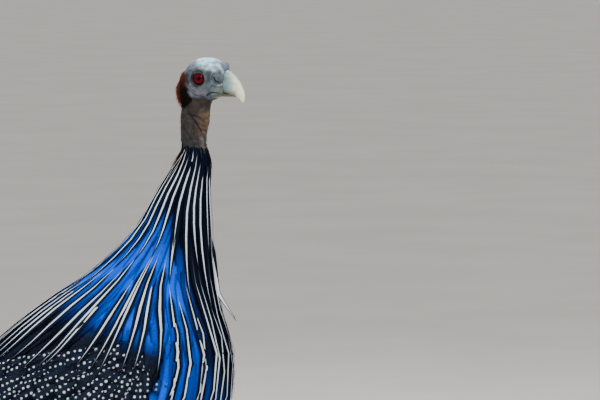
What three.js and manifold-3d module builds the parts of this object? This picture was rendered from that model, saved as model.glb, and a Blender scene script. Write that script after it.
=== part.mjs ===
// A vulturine guineafowl at life size, standing alert with its neck raised and its head turned to its right.
// Millimetres: +X is forward, +Y is the bird's left, +Z is up, and the floor is z = 0.

import * as THREE from "three";
import { mergeVertices } from "three/addons/utils/BufferGeometryUtils.js";
import Module from "manifold-3d";

const wasm = await Module();
wasm.setup();

const DEG = Math.PI / 180;
const GAP = 0.3;

// The trunk from the skull to the tail's root, seen from the side: the edge of the back, the edge of the front,
// and half the width there. The places are the outline of the plumage.
const TRUNK = [
  { at: "skull base", back: [-8, 582], front: [9, 580], half: 8 },
  { at: "throat", back: [-12, 562], front: [15, 560], half: 10.5 },
  { at: "bare neck", back: [-12, 541], front: [11.5, 538], half: 11 },
  { at: "collar", back: [-13, 526], front: [13, 521], half: 12.5 },
  { at: "upper cape", back: [-33, 496], front: [14.5, 484], half: 20 },
  { at: "middle cape", back: [-53, 460], front: [16.5, 440], half: 31 },
  { at: "lower cape", back: [-88, 426], front: [22, 395], half: 46 },
  { at: "breast", back: [-127, 400], front: [34, 350], half: 58 },
  { at: "shoulders", back: [-168, 368], front: [26, 292], half: 65 },
  { at: "mid body", back: [-203, 333], front: [-12, 240], half: 66 },
  { at: "thighs", back: [-232, 296], front: [-72, 208], half: 57 },
  { at: "rump", back: [-252, 266], front: [-135, 206], half: 41 },
  { at: "vent", back: [-266, 246], front: [-190, 214], half: 22 },
  { at: "tail root", back: [-273, 236], front: [-216, 222], half: 11 },
];
const station = (name) => TRUNK.findIndex((s) => s.at === name);

// Where the trunk is parted, counted in stations
const COLLAR = station("collar");
const CAPE_END = 6.6;
const TAIL_ROOT = station("tail root");

// The head in its own frame: x towards the bill, z up, from the middle of the skull at eye height
const HEAD_PLACE = [8.8, 0, 591.7];
const HEAD_TURN = -20 * DEG;
const HEAD = [
  { at: "occiput", back: [-18, 4], front: [-18, -4], half: 3 },
  { at: "nape", back: [-15.5, 10], front: [-15.5, -10], half: 9 },
  { at: "ear", back: [-9, 15.5], front: [-9, -15.5], half: 13 },
  { at: "eye", back: [-1, 18], front: [-1, -17], half: 14.6 },
  { at: "lore", back: [7, 18], front: [7, -16.5], half: 13.6 },
  { at: "cere", back: [13, 15.8], front: [13, -15.8], half: 11.4 },
  { at: "brow end", back: [18.5, 11.5], front: [18.5, -13], half: 8.6 },
  { at: "bill root", back: [21, 8], front: [21, -8], half: 5.5 },
];
const BILL_UPPER = [
  { at: "base", back: [16, 9.3], front: [10, -12.5], half: 8 },
  { at: "nostril", back: [24, 5.6], front: [19, -11], half: 5.9 },
  { at: "bend", back: [30.5, 0.3], front: [26.5, -12.2], half: 4.4 },
  { at: "hook", back: [35.3, -7], front: [31.5, -14.2], half: 2.9 },
  { at: "near tip", back: [37.6, -14], front: [34.8, -17], half: 1.5 },
  { at: "tip", back: [37.3, -19.2], front: [36.2, -19.2], half: 0.5 },
];
const BILL_LOWER = [
  { at: "base", back: [11, -12.9], front: [9, -17.2], half: 7.2 },
  { at: "middle", back: [18, -11.6], front: [17, -16.6], half: 5.2 },
  { at: "taper", back: [25, -12.8], front: [24.6, -15.9], half: 3.6 },
  { at: "tip", back: [30.5, -14.6], front: [30.5, -15.6], half: 1.6 },
];
const EYE_RADIUS = 6.6;
const EYE_OUT = 8.2;
const LID_RADIUS = 6.1;
const LID_THICKNESS = 1.1;

// The legs: the knee lies inside the body
const KNEE = [-70, 28, 232];
const HOCK = [-126, 36, 112];
const ANKLE = [-103, 36, 13];
const STRIDE = { left: -9, right: 9 };
const TOE_HEIGHT = 3.3;
const TOES = [
  { name: "inner", turn: -30, length: 36, radius: 3.9, joints: 2, claw: 11 },
  { name: "middle", turn: 2, length: 50, radius: 4.3, joints: 3, claw: 13 },
  { name: "outer", turn: 32, length: 38, radius: 3.9, joints: 3, claw: 11 },
];

const TAIL_DROOP = 54 * DEG;
const TAIL_PLACE = [-250, 0, 243];

const SKIN_GREY = 0x8c99a6;
const HORN = 0xc9d4cc;
const IRIS_RED = 0x8f1420;
const CHESTNUT = 0x5a2412;
const NECK_GREY = 0x55545a;
const PLUMAGE_BLUE = 0x0a4fc4;
const PLUMAGE_DARK = 0x23262f;
const LEG_GREY = 0x3c3f45;

// A Catmull-Rom spline through numbers, with its ends repeated.
function spline(values, t) {
  const last = values.length - 1;
  const i = Math.min(Math.max(Math.floor(t), 0), last - 1);
  const f = t - i;
  const at = (k) => values[Math.min(Math.max(k, 0), last)];
  const [a, b, c, d] = [at(i - 1), at(i), at(i + 1), at(i + 2)];
  const [u, v] = [(c - a) / 2, (d - b) / 2];
  return (2 * b - 2 * c + u + v) * f ** 3 + (3 * c - 3 * b - 2 * u - v) * f ** 2 + u * f + b;
}

const smooth = (from, to, x) => THREE.MathUtils.smoothstep(x, from, to);

// A point of the loft through stations: angle 0 is the back edge, 180 degrees the front edge, 90 the left side.
function loftPoint(stations, t, angle, out = 0, reach = 1) {
  const value = (pick) => spline(stations.map(pick), t);
  const back = new THREE.Vector3(value((s) => s.back[0]), 0, value((s) => s.back[1]));
  const front = new THREE.Vector3(value((s) => s.front[0]), 0, value((s) => s.front[1]));
  const centre = back.clone().add(front).divideScalar(2);
  const depth = back.distanceTo(front) / 2;
  const up = back.sub(front).normalize();
  const across = value((s) => s.half);
  return centre
    .addScaledVector(up, Math.cos(angle) * (depth + out) * reach)
    .add(new THREE.Vector3(0, Math.sin(angle) * (across + out) * reach, 0));
}

// The solid inside a closed surface, with its faces turned outwards.
function solidIn(positions, indices) {
  const vertProperties = new Float32Array(positions);
  const triVerts = new Uint32Array(indices);
  const make = () => new wasm.Manifold(new wasm.Mesh({ numProp: 3, vertProperties, triVerts }));
  const made = make();
  if (made.volume() > 0) return made;
  for (let i = 0; i < triVerts.length; i += 3) {
    [triVerts[i + 1], triVerts[i + 2]] = [triVerts[i + 2], triVerts[i + 1]];
  }
  return make();
}

function solidOf(geometry) {
  const bare = geometry.clone();
  bare.deleteAttribute("normal");
  bare.deleteAttribute("uv");
  const merged = mergeVertices(bare, 1e-4);
  return solidIn(merged.attributes.position.array, merged.index.array);
}

// Moves every vertex of a geometry to where place(x, y, z) says.
function reshape(geometry, place) {
  const position = geometry.getAttribute("position");
  for (let i = 0; i < position.count; i++) {
    const p = place(position.getX(i), position.getY(i), position.getZ(i));
    position.setXYZ(i, p.x, p.y, p.z);
  }
  return geometry;
}

// A closed cylinder whose vertices go to place(share along, angle, share of the radius).
function sweep(around, along, place) {
  const cylinder = new THREE.CylinderGeometry(1, 1, 1, around, along);
  return solidOf(reshape(cylinder, (x, y, z) => place(0.5 - y, Math.atan2(x, z), Math.hypot(x, z))));
}

// The loft through stations, from one to another, set out by a few millimetres or in where that is negative.
function loft(stations, around, along, { from = 0, to = stations.length - 1, out = () => 0 } = {}) {
  return sweep(around, along, (share, angle, reach) => {
    const t = from + (to - from) * share;
    return loftPoint(stations, t, angle, out(t, angle), reach);
  });
}

// A round limb along points, as thick as its radii, with its ring's first axis along reference.
function limb(points, radii, around, along, reference, { from = 0, to = 1, shape = () => 1 } = {}) {
  const curve = new THREE.CatmullRomCurve3(points.map((p) => new THREE.Vector3(...p)));
  return sweep(around, along, (share, angle, reach) => {
    const whole = from + (to - from) * share;
    const tangent = curve.getTangent(whole);
    const side = new THREE.Vector3(...reference).cross(tangent).normalize();
    const up = tangent.clone().cross(side);
    const radius = spline(radii, whole * (radii.length - 1)) * reach * shape(share, angle);
    return curve
      .getPoint(whole)
      .addScaledVector(up, Math.cos(angle) * radius)
      .addScaledVector(side, Math.sin(angle) * radius);
  });
}

function ellipsoid(place, radii, turn = [0, 0, 0], width = 14, height = 10) {
  const sphere = new THREE.SphereGeometry(1, width, height);
  sphere.scale(...radii);
  const matrix = new THREE.Matrix4().makeRotationFromEuler(new THREE.Euler(...turn.map((a) => a * DEG)));
  sphere.applyMatrix4(matrix.setPosition(...place));
  return solidOf(sphere);
}

// The largest closed body of a cut or joined solid.
function largest(solid) {
  return solid.decompose().reduce((a, b) => (b.volume() > a.volume() ? b : a));
}

function meshOf(name, solid, colour, roughness) {
  const made = largest(solid).getMesh();
  const geometry = new THREE.BufferGeometry();
  geometry.setAttribute("position", new THREE.BufferAttribute(new Float32Array(made.vertProperties), 3));
  geometry.setIndex(new THREE.BufferAttribute(new Uint32Array(made.triVerts), 1));
  geometry.computeVertexNormals();
  const material = new THREE.MeshStandardMaterial({ color: colour, roughness, metalness: 0 });
  const mesh = new THREE.Mesh(geometry, material);
  mesh.name = name;
  return mesh;
}

// Numbers from 0 to 1 that come out the same on every run.
function seeded(seed) {
  let state = seed;
  return () => {
    state = (state * 1664525 + 1013904223) >>> 0;
    return state / 4294967296;
  };
}
const spread = (random, range) => (random() - 0.5) * 2 * range;

// The outlines of feathers: shares of the length where the width is set, and shares of the full width there.
const LANCE = { shares: [0, 0.3, 0.68, 1], widths: [0.45, 0.95, 1, 0.07] };
const ROUNDED = { shares: [0, 0.4, 0.86, 1], widths: [0.4, 0.95, 0.95, 0.3] };
const COVERT = { shares: [0, 0.72, 1], widths: [0.5, 1, 0.35] };
const STREAMER = { shares: [0, 0.2, 0.45, 0.7, 0.88, 1], widths: [0.6, 1, 0.92, 0.66, 0.36, 0.06] };
const VANE_THICK = 0.8;
const TIP_THICK = 0.5;

// One flat feather. at(share) gives its centre line and a point straight above it, half is half its full width,
// and roll lifts its one edge. Both faces are split along the same diagonals, so that they never cross.
function vane(outline, at, half, roll = 0) {
  const positions = [];
  const indices = [];
  const last = outline.shares.length - 1;
  outline.shares.forEach((share, i) => {
    const [centre, above] = at(share);
    const up = above.clone().sub(centre).normalize();
    const ahead = at(Math.min(share + 0.02, 1))[0].clone();
    const tangent = ahead.sub(at(Math.max(share - 0.02, 0))[0]).normalize();
    const side = up.clone().cross(tangent).normalize();
    side.multiplyScalar(Math.cos(roll)).addScaledVector(up, Math.sin(roll));
    const lift = tangent.clone().cross(side).normalize();
    const thick = THREE.MathUtils.lerp(VANE_THICK, TIP_THICK, share ** 2) / 2;
    for (const [a, b] of [[-1, 1], [1, 1], [1, -1], [-1, -1]]) {
      const corner = centre.clone().addScaledVector(side, a * half * outline.widths[i]);
      positions.push(...corner.addScaledVector(lift, b * thick));
    }
    if (i === last) return;
    for (const [a, b] of [[0, 1], [1, 2], [2, 3], [3, 0]]) {
      const [p, q, r, s] = [4 * i + a, 4 * i + b, 4 * i + 4 + b, 4 * i + 4 + a];
      if (a === 2) indices.push(p, q, s, q, r, s);
      else indices.push(p, q, r, p, r, s);
    }
  });
  indices.push(3, 2, 1, 3, 1, 0, 4 * last, 4 * last + 1, 4 * last + 2, 4 * last, 4 * last + 2, 4 * last + 3);
  return solidIn(positions, indices);
}

const fused = (solids) => wasm.Manifold.union(solids);

// How deep the plumage's core lies under the outline, so that the hackles have room.
const HACKLE_DEPTH = 8.5;
const coreInset = (t) => -HACKLE_DEPTH * smooth(3.1, 4.6, t) * (1 - smooth(8.4, 9.4, t));

// Torso
const TORSO_AROUND = 24;
const TORSO_ALONG = 15;
const torsoSolid = (grow) =>
  loft(TRUNK, TORSO_AROUND, TORSO_ALONG, {
    from: CAPE_END,
    to: TAIL_ROOT,
    out: (t) => coreInset(t) + grow,
  });
const torso = torsoSolid(0);
const torsoRoom = torsoSolid(GAP * 1.6);

// Wings. A place on one is told by its share u of the way from the bend to the tip, and its share v from the
// low edge to the high one. A plate lies on the torso, and the feathers grow from it and past it, in tiers.
const WING_START = 7.35;
const WING_END = 11.9;
const WING_LOW = [104, 114, 119, 117, 108, 92];
const WING_HIGH = [84, 52, 34, 30, 44, 78];
const WING_SUNK = 12;
const PLATE_THICK = 2.4;
const PLATE_LENGTH = 0.7;
const PLATE_LOW = 0.14;
const FEATHER_ROLL = 7 * DEG;
const FEATHER_SUNK = 1.4;
// Each tier's feathers lie between its two outermost ones, told by their roots' and tips' shares of the wing.
// A tip stands its rise over the torso's outline.
const WING_TIERS = [
  {
    name: "primaries",
    count: 4,
    outline: ROUNDED,
    half: 8,
    rise: 2.8,
    roots: [[0.4, 0.2], [0.5, 0.36]],
    tips: [[0.74, 0.03], [1, 0.48]],
  },
  {
    name: "secondaries",
    count: 6,
    outline: ROUNDED,
    half: 8.8,
    rise: 3.8,
    roots: [[0.2, 0.26], [0.5, 0.62]],
    tips: [[0.5, 0], [0.95, 0.62]],
  },
  {
    name: "greater coverts",
    count: 5,
    outline: COVERT,
    half: 8.2,
    rise: 5,
    roots: [[0.12, 0.34], [0.4, 0.74]],
    tips: [[0.36, 0.15], [0.7, 0.74]],
  },
  {
    name: "median coverts",
    count: 5,
    outline: COVERT,
    half: 8,
    rise: 6,
    roots: [[0.06, 0.45], [0.24, 0.82]],
    tips: [[0.24, 0.28], [0.5, 0.82]],
  },
  {
    name: "tertials",
    count: 3,
    outline: ROUNDED,
    half: 9,
    rise: 6.6,
    roots: [[0.14, 0.82], [0.32, 0.95]],
    tips: [[0.6, 0.78], [0.86, 0.93]],
  },
];

function wingPoint(side, u, v, out) {
  const t = WING_START + (WING_END - WING_START) * u;
  const low = spline(WING_LOW, u * (WING_LOW.length - 1));
  const high = spline(WING_HIGH, u * (WING_HIGH.length - 1));
  return loftPoint(TRUNK, t, side * THREE.MathUtils.lerp(low, high, v) * DEG, out);
}

// How far the plate's upper face stands over the torso's outline.
function plateTop(u, v) {
  const along = THREE.MathUtils.clamp(u / PLATE_LENGTH, 0, 1);
  const up = THREE.MathUtils.clamp((v - PLATE_LOW) / (1 - PLATE_LOW), 0, 1);
  const full = Math.min(1, 0.25 + 2 * Math.sin(Math.PI * along));
  return 0.6 + PLATE_THICK * (1 - Math.abs(2 * up - 1) ** 3) * full;
}

// A slab over shares of a wing, between two heights over the torso's outline.
function wingSlab(side, [fromU, toU], [fromV, toV], bottom, top) {
  const box = new THREE.BoxGeometry(1, 1, 1, 9, 1, 7);
  const place = (x, y, z) => {
    const u = THREE.MathUtils.lerp(fromU, toU, x + 0.5);
    const v = THREE.MathUtils.lerp(fromV, toV, z + 0.5);
    return wingPoint(side, u, v, y > 0 ? plateTop(u, v) + top : bottom);
  };
  return solidOf(reshape(box, place));
}

function wingFeathers(side, tier, random) {
  return Array.from({ length: tier.count }, (_, i) => {
    const share = i / (tier.count - 1);
    const [root, tip] = [tier.roots, tier.tips].map(([low, high]) =>
      [0, 1].map((k) => THREE.MathUtils.lerp(low[k], high[k], share) + spread(random, 0.006)));
    const at = (along) => {
      const u = THREE.MathUtils.lerp(root[0], tip[0], along);
      const v = THREE.MathUtils.lerp(root[1], tip[1], along);
      const out = THREE.MathUtils.lerp(plateTop(...root) - FEATHER_SUNK, tier.rise, along);
      return [wingPoint(side, u, v, out), wingPoint(side, u, v, out + 1)];
    };
    return vane(tier.outline, at, tier.half, -side * FEATHER_ROLL);
  });
}

function wing(side) {
  const random = seeded(11);
  const plate = wingSlab(side, [0, PLATE_LENGTH], [PLATE_LOW, 1], -WING_SUNK, 0);
  const feathers = WING_TIERS.flatMap((tier) => wingFeathers(side, tier, random));
  return fused([plate, ...feathers]).subtract(torsoRoom);
}
const wingRooms = [-1, 1].map((side) => wingSlab(side, [-0.012, 1], [-0.05, 1.05], -WING_SUNK - 1, 2.1));

// Lower neck with its cape of hackles: long lance-shaped feathers in tiers, each over the tiers below it
const HACKLE_SUNK = 1.4;
const HACKLE_TIERS = [
  { root: 3.12, tip: 4.35, count: 8, half: 3.4 },
  { root: 3.55, tip: 5.05, count: 10, half: 4.4 },
  { root: 4.05, tip: 5.85, count: 12, half: 5.3 },
  { root: 4.65, tip: 6.75, count: 14, half: 6.1 },
  { root: 5.3, tip: 7.6, count: 17, half: 6.6 },
  { root: 5.92, tip: 8.25, count: 18, half: 6.9 },
];
// How far the hem hangs past the last tier's tips, in stations, from the back round to the front
const HEM = [0.15, 0.08, -0.3, -0.62, -0.1, 0.3, 0.42];
const SIDE_DRIFT = 14;

const hemAt = (angle) => spline(HEM, (angle / 180) * (HEM.length - 1));
const driftAt = (angle) => SIDE_DRIFT * smooth(45, 95, angle) * (1 - smooth(125, 178, angle));

// How high the hackles must lie over the outline to pass over the wing's bend.
function overWing(t, angle) {
  const u = (t - WING_START) / (WING_END - WING_START);
  const low = spline(WING_LOW, Math.max(u, 0) * (WING_LOW.length - 1));
  const high = spline(WING_HIGH, Math.max(u, 0) * (WING_HIGH.length - 1));
  const v = (angle - low) / (high - low);
  const near = smooth(-0.25, 0.02, u) * smooth(-0.6, 0, v) * (1 - smooth(1, 1.6, v));
  return near * (plateTop(Math.max(u, 0), v) + 3);
}

function hackle(tier, angle, random) {
  const turned = Math.abs(angle > 180 ? angle - 360 : angle);
  const side = angle > 180 ? -1 : 1;
  const reach = (tier.tip - HACKLE_TIERS[0].root) / (HACKLE_TIERS.at(-1).tip - HACKLE_TIERS[0].root);
  const tip = tier.tip + hemAt(turned) * reach ** 2 + spread(random, 0.07);
  const drift = driftAt(turned) * reach + spread(random, 1.5);
  const at = (share) => {
    const t = THREE.MathUtils.lerp(tier.root, tip, share);
    const here = turned + drift * share ** 1.5;
    const free = THREE.MathUtils.lerp(coreInset(tier.root) - HACKLE_SUNK, 0.2, share ** 0.75);
    const bend = overWing(t, here);
    const over = Math.max(0, bend - free) * smooth(0.2, 0.6, share) * smooth(0, 0.5, bend);
    return [0, 1].map((more) => loftPoint(TRUNK, t, side * here * DEG, free + over + more));
  };
  return vane(LANCE, at, tier.half, spread(random, 2) * DEG);
}

function cape() {
  const random = seeded(5);
  const core = loft(TRUNK, 18, 7, {
    from: COLLAR + 0.02,
    to: CAPE_END - 0.01,
    out: (t) => coreInset(t),
  });
  const hackles = HACKLE_TIERS.flatMap((tier, k) =>
    Array.from({ length: tier.count }, (_, i) => {
      const angle = ((i + 0.5 * (k % 2) + 0.25) / tier.count) * 360 + spread(random, 2);
      return hackle(tier, angle % 360, random);
    }));
  return fused([core, ...hackles]).subtract(torsoRoom).subtract(wingRooms[0]).subtract(wingRooms[1]);
}

// Head
const headGroup = new THREE.Group();
headGroup.position.set(...HEAD_PLACE);
headGroup.rotation.z = HEAD_TURN;
headGroup.updateMatrix();
const headMatrix = headGroup.matrix.elements;
const headInverse = headGroup.matrix.clone().invert().elements;

const grown = (stations, around, along, by) =>
  loft(stations, around, along, { from: -0.04, to: stations.length - 0.96, out: () => by });

function head() {
  let skull = loft(HEAD, 20, 12);
  for (const side of [-1, 1]) {
    const ring = new THREE.TorusGeometry(LID_RADIUS, LID_THICKNESS, 5, 16);
    ring.rotateX(90 * DEG);
    ring.rotateX(side * 8 * DEG);
    ring.translate(-0.5, side * 13.2, 0.6);
    const brow = ellipsoid([0, side * 11.4, 8], [10, 2.6, 2.6], [side * 20, -8, side * -6], 10, 6);
    const bump = ellipsoid([14.2, side * 7.4, 9.2], [6, 4.4, 4.4], [0, 20, side * -10], 12, 8);
    const cere = ellipsoid([16, side * 6.6, 1.5], [4.6, 2.6, 4.6], [0, 10, side * -14], 10, 7);
    skull = skull.add(solidOf(ring)).add(brow).add(bump).add(cere);
  }
  for (const side of [-1, 1]) {
    const slit = ellipsoid([17.5, side * 8.9, 0.2], [2.4, 1.6, 0.9], [0, 42, side * -14], 10, 6);
    const ear = ellipsoid([-9.5, side * 13.6, -6], [1.6, 2, 2.2], [0, 0, 0], 10, 6);
    const socket = ellipsoid([0, side * EYE_OUT, 0.6], Array(3).fill(EYE_RADIUS + GAP), [0, 0, 0], 12, 9);
    skull = skull.subtract(slit).subtract(ear).subtract(socket);
  }
  return skull.subtract(grown(BILL_UPPER, 16, 10, GAP)).subtract(grown(BILL_LOWER, 12, 6, GAP));
}

const headSolid = head();
const headRoom = grown(HEAD, 20, 12, GAP * 1.6);

function napePatch() {
  const band = ellipsoid([-11.5, 0, -9.5], [12.5, 13.6, 15], [0, -14, 0], 14, 8);
  const neck = loft(TRUNK, 16, 6, { from: 0, to: COLLAR, out: () => GAP * 1.6 });
  return band.subtract(headRoom).subtract(neck.transform(headInverse));
}

// Neck
const headInPlace = headRoom.transform(headMatrix);
const neckUpper = loft(TRUNK, 16, 8, { from: 0, to: COLLAR - 0.01 }).subtract(headInPlace);

// Legs: one bent limb from the hip to the sole, parted above the hock
const LEG_RADII = [22, 31, 22, 11, 8.2, 4.9, 5.1, 6.2];
const THIGH_END = 2.55 / 7;
const SCUTES = 9;
const SPLIT = 0.0035;
const floorBlock = solidOf(new THREE.BoxGeometry(1400, 600, 100).translate(0, 0, -50));

function legCurve(side, name) {
  const step = STRIDE[name];
  const [hip, hock, ankle] = [KNEE, HOCK, ANKLE].map(([x, y, z]) => [x + step, side * y, z]);
  hip[0] -= step * 0.6;
  return [
    [hip[0] + 4, hip[1], hip[2] + 22],
    [hip[0] - 8, hip[1] + side, hip[2] - 22],
    [hip[0] - 30, hip[1] + side, hip[2] - 68],
    [hock[0] + 5, hock[1], hock[2] + 13],
    [hock[0] + 0.5, hock[1], hock[2] - 4],
    [(hock[0] + ankle[0]) / 2 + 1, hock[1], (hock[2] + ankle[2]) / 2],
    [ankle[0] - 1, ankle[1], ankle[2] + 8],
    [ankle[0] + 1.5, ankle[1], 4.5],
  ];
}

// Overlapping plates down the front of the shank, each standing proud at its lower edge
const scuteRelief = (share, angle) =>
  1 + 0.13 * ((share * SCUTES) % 1) * Math.max(0, -Math.sin(angle)) * smooth(0.06, 0.14, share);

const thighSolid = (side, name, grow) =>
  limb(legCurve(side, name), LEG_RADII.map((r) => r + grow), 14, 7, [0, 1, 0], { to: THIGH_END });

const midBlock = solidOf(new THREE.BoxGeometry(1400, 2, 1400));

const thigh = (side, name) =>
  thighSolid(side, name, 0)
    .subtract(torsoRoom)
    .subtract(wingSlab(side, [0, 1], [-0.14, 1], -WING_SUNK - 4, 7))
    .subtract(midBlock);

const padSolid = (foot, grow) =>
  ellipsoid([foot[0] + 2, foot[1], 5], [8.5 + grow, 7.5 + grow, 6 + grow], [0, 0, 0], 10, 6);

function shank(side, name) {
  const route = legCurve(side, name);
  return limb(route, LEG_RADII, 8, 2 * SCUTES, [0, 1, 0], { from: THIGH_END + SPLIT, shape: scuteRelief })
    .add(padSolid(route.at(-1), 0))
    .subtract(floorBlock);
}

// A toe's centre line: out along the floor for its length, turned outwards by turn.
function toeRoute(foot, side, toe) {
  const [c, s] = [Math.cos(toe.turn * DEG), Math.sin(toe.turn * DEG) * side];
  const { length, claw } = toe;
  const stops = [[3, 1.6], [length * 0.5, 0.2], [length, 0], [length + GAP, 0], [length + claw, 0]];
  return stops.map(([along, lift]) => [foot[0] + c * along, foot[1] + s * along, TOE_HEIGHT + lift]);
}

const knuckles = (joints) => (share) => 1 + 0.09 * Math.cos(2 * Math.PI * joints * share);

function toeSolid(foot, side, toe, grow) {
  const r = toe.radius + grow;
  const route = toeRoute(foot, side, toe).slice(0, 3);
  return limb(route, [r + 0.4, r - 0.2, r - 1], 8, 6, [0, 0, 1], { shape: knuckles(toe.joints) });
}

function clawSolid(base, tip, lift) {
  const middle = base.map((v, i) => (v + tip[i]) / 2 + (i === 2 ? lift : 0));
  return limb([base, middle, tip], [2.2, 1.7, 0.4], 6, 4, [0, 0, 1]).subtract(floorBlock);
}

function footNodes(side, name) {
  const foot = legCurve(side, name).at(-1);
  const made = [];
  const pad = padSolid(foot, GAP);
  const taken = [pad];
  for (const toe of [TOES[1], TOES[0], TOES[2]]) {
    let solid = toeSolid(foot, side, toe, 0).subtract(floorBlock);
    for (const room of taken) solid = solid.subtract(room);
    taken.push(toeSolid(foot, side, toe, GAP));
    const [, , , base, tip] = toeRoute(foot, side, toe);
    made.push(["toe_" + name + "_" + toe.name, solid]);
    made.push(["claw_" + name + "_" + toe.name, clawSolid(base, [tip[0], tip[1], 0.9], 1.2)]);
  }
  const hind = [[-3, 14], [-12, 9.5], [-18, 6.5], [-18.3, 6.3], [-26, 1.2]].map(([x, z]) => [
    foot[0] + x,
    foot[1] - side * 2 + side * 0.2 * x,
    z,
  ]);
  const roomRadii = LEG_RADII.map((r) => r + GAP + 0.4);
  const shankRoom = limb(legCurve(side, name), roomRadii, 8, 10, [0, 1, 0], { from: THIGH_END });
  const hindToe = limb(hind.slice(0, 3), [3.4, 3, 2.4], 10, 5, [0, 1, 0]).subtract(pad).subtract(shankRoom);
  made.push(["toe_" + name + "_hind", hindToe]);
  made.push(["claw_" + name + "_hind", clawSolid(hind[3], hind[4], 0.8)]);
  return made;
}

// Tail, in its own frame: x towards its tip, z up off its upper side
const tailGroup = new THREE.Group();
tailGroup.position.set(...TAIL_PLACE);
tailGroup.rotation.set(0, TAIL_DROOP, Math.PI, "ZYX");
tailGroup.updateMatrix();

const TAIL_CURVE = 18;
const STACK = 1.6;
const RECTRICES = [
  { length: 250, half: 11, outline: STREAMER },
  { length: 206, half: 12, outline: ROUNDED },
  { length: 196, half: 12.5, outline: ROUNDED },
  { length: 186, half: 12.5, outline: ROUNDED },
  { length: 173, half: 12.5, outline: ROUNDED },
  { length: 160, half: 12, outline: ROUNDED },
  { length: 142, half: 11.5, outline: ROUNDED },
];
const TAIL_COVERTS = [
  { name: "long upper", count: 5, length: 92, half: 9.5, root: 2, height: 4.6, tip: 3.6, fan: 24 },
  { name: "short upper", count: 4, length: 70, half: 9, root: -8, height: 6.6, tip: 8.4, fan: 26 },
  { name: "under", count: 4, length: 84, half: 10, root: -2, height: -8.5, tip: -15, fan: 20 },
];

// A feather of the tail: from the stub outwards, turned by yaw, with its root and tip at their heights.
function tailFeather({ root, length, half, outline }, yaw, across, rootHeight, tipHeight, roll) {
  const at = (share) => {
    const along = length * share;
    const x = root + along * Math.cos(yaw);
    const y = across + along * Math.sin(yaw) * (1 - 0.25 * share);
    const roof = 0.006 * y * y;
    const z = THREE.MathUtils.lerp(rootHeight, tipHeight, share) - roof + TAIL_CURVE * (x / 250) ** 2;
    return [0, 1].map((more) => new THREE.Vector3(x, y, z + more));
  };
  return vane(outline, at, half, roll);
}

function tail() {
  const random = seeded(23);
  const stub = sweep(16, 6, (share, angle, reach) => {
    const width = spline([9, 14, 17, 15, 7], share * 4) * reach;
    const thick = spline([7, 9.5, 8, 5.5, 2.5], share * 4) * reach;
    return new THREE.Vector3(-16 + 66 * share, Math.sin(angle) * width, Math.cos(angle) * thick - 2);
  });
  const feathers = RECTRICES.flatMap((feather, i) =>
    [-1, 1].map((side) => {
      const level = -STACK * (2 * i + (side > 0 ? 0 : 1)) / 2;
      const yaw = side * (0.5 + 1.5 * i + spread(random, 0.3)) * DEG;
      const across = side * (2 + 1.3 * i);
      const roll = side * 1.6 * i * DEG;
      return tailFeather({ root: 22 - i, ...feather }, yaw, across, level * 0.8, level * 1.3, roll);
    }));
  const coverts = TAIL_COVERTS.flatMap((tier) =>
    Array.from({ length: tier.count }, (_, i) => {
      const share = i / (tier.count - 1) - 0.5;
      const yaw = (share * tier.fan + spread(random, 1)) * DEG;
      const step = Math.sign(tier.height) * (STACK * Math.abs(2 * share) * 1.6 + (i % 2) * 0.6);
      const feather = { ...tier, length: tier.length + spread(random, 4), outline: COVERT };
      const roll = share * 14 * DEG;
      return tailFeather(feather, yaw, share * 20, tier.height - step, tier.tip - step, roll);
    }));
  const torsoThere = torsoRoom.transform(tailGroup.matrix.clone().invert().elements);
  return fused([stub, ...feathers, ...coverts]).subtract(torsoThere);
}

const bird = new THREE.Group();
bird.add(meshOf("torso", torso, PLUMAGE_DARK, 0.8));
bird.add(meshOf("wing_left", wing(1), PLUMAGE_DARK, 0.8));
bird.add(meshOf("wing_right", wing(-1), PLUMAGE_DARK, 0.8));
bird.add(meshOf("neck_lower", cape(), PLUMAGE_BLUE, 0.6));
bird.add(meshOf("neck_upper", neckUpper, NECK_GREY, 0.9));
headGroup.add(meshOf("head", headSolid, SKIN_GREY, 0.6));
headGroup.add(meshOf("nape_patch", napePatch(), CHESTNUT, 1));
headGroup.add(meshOf("bill_upper", loft(BILL_UPPER, 16, 10), HORN, 0.4));
headGroup.add(meshOf("bill_lower", loft(BILL_LOWER, 12, 6), HORN, 0.4));
for (const [name, side] of [["left", 1], ["right", -1]]) {
  const eye = ellipsoid([0, side * EYE_OUT, 0.6], Array(3).fill(EYE_RADIUS), [0, 0, 0], 12, 9);
  headGroup.add(meshOf("eye_" + name, eye, IRIS_RED, 0.1));
  bird.add(meshOf("thigh_" + name, thigh(side, name), PLUMAGE_DARK, 0.8));
  bird.add(meshOf("shank_" + name, shank(side, name), LEG_GREY, 0.7));
  for (const [node, solid] of footNodes(side, name)) bird.add(meshOf(node, solid, LEG_GREY, 0.7));
}
tailGroup.add(meshOf("tail", tail(), PLUMAGE_DARK, 0.8));
bird.add(headGroup, tailGroup);

// The part's origin is on the floor, under the middle of the whole bird
bird.updateMatrixWorld(true);
const middle = new THREE.Box3().setFromObject(bird).getCenter(new THREE.Vector3());
bird.position.set(-middle.x, -middle.y, 0);

export default bird;
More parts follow.
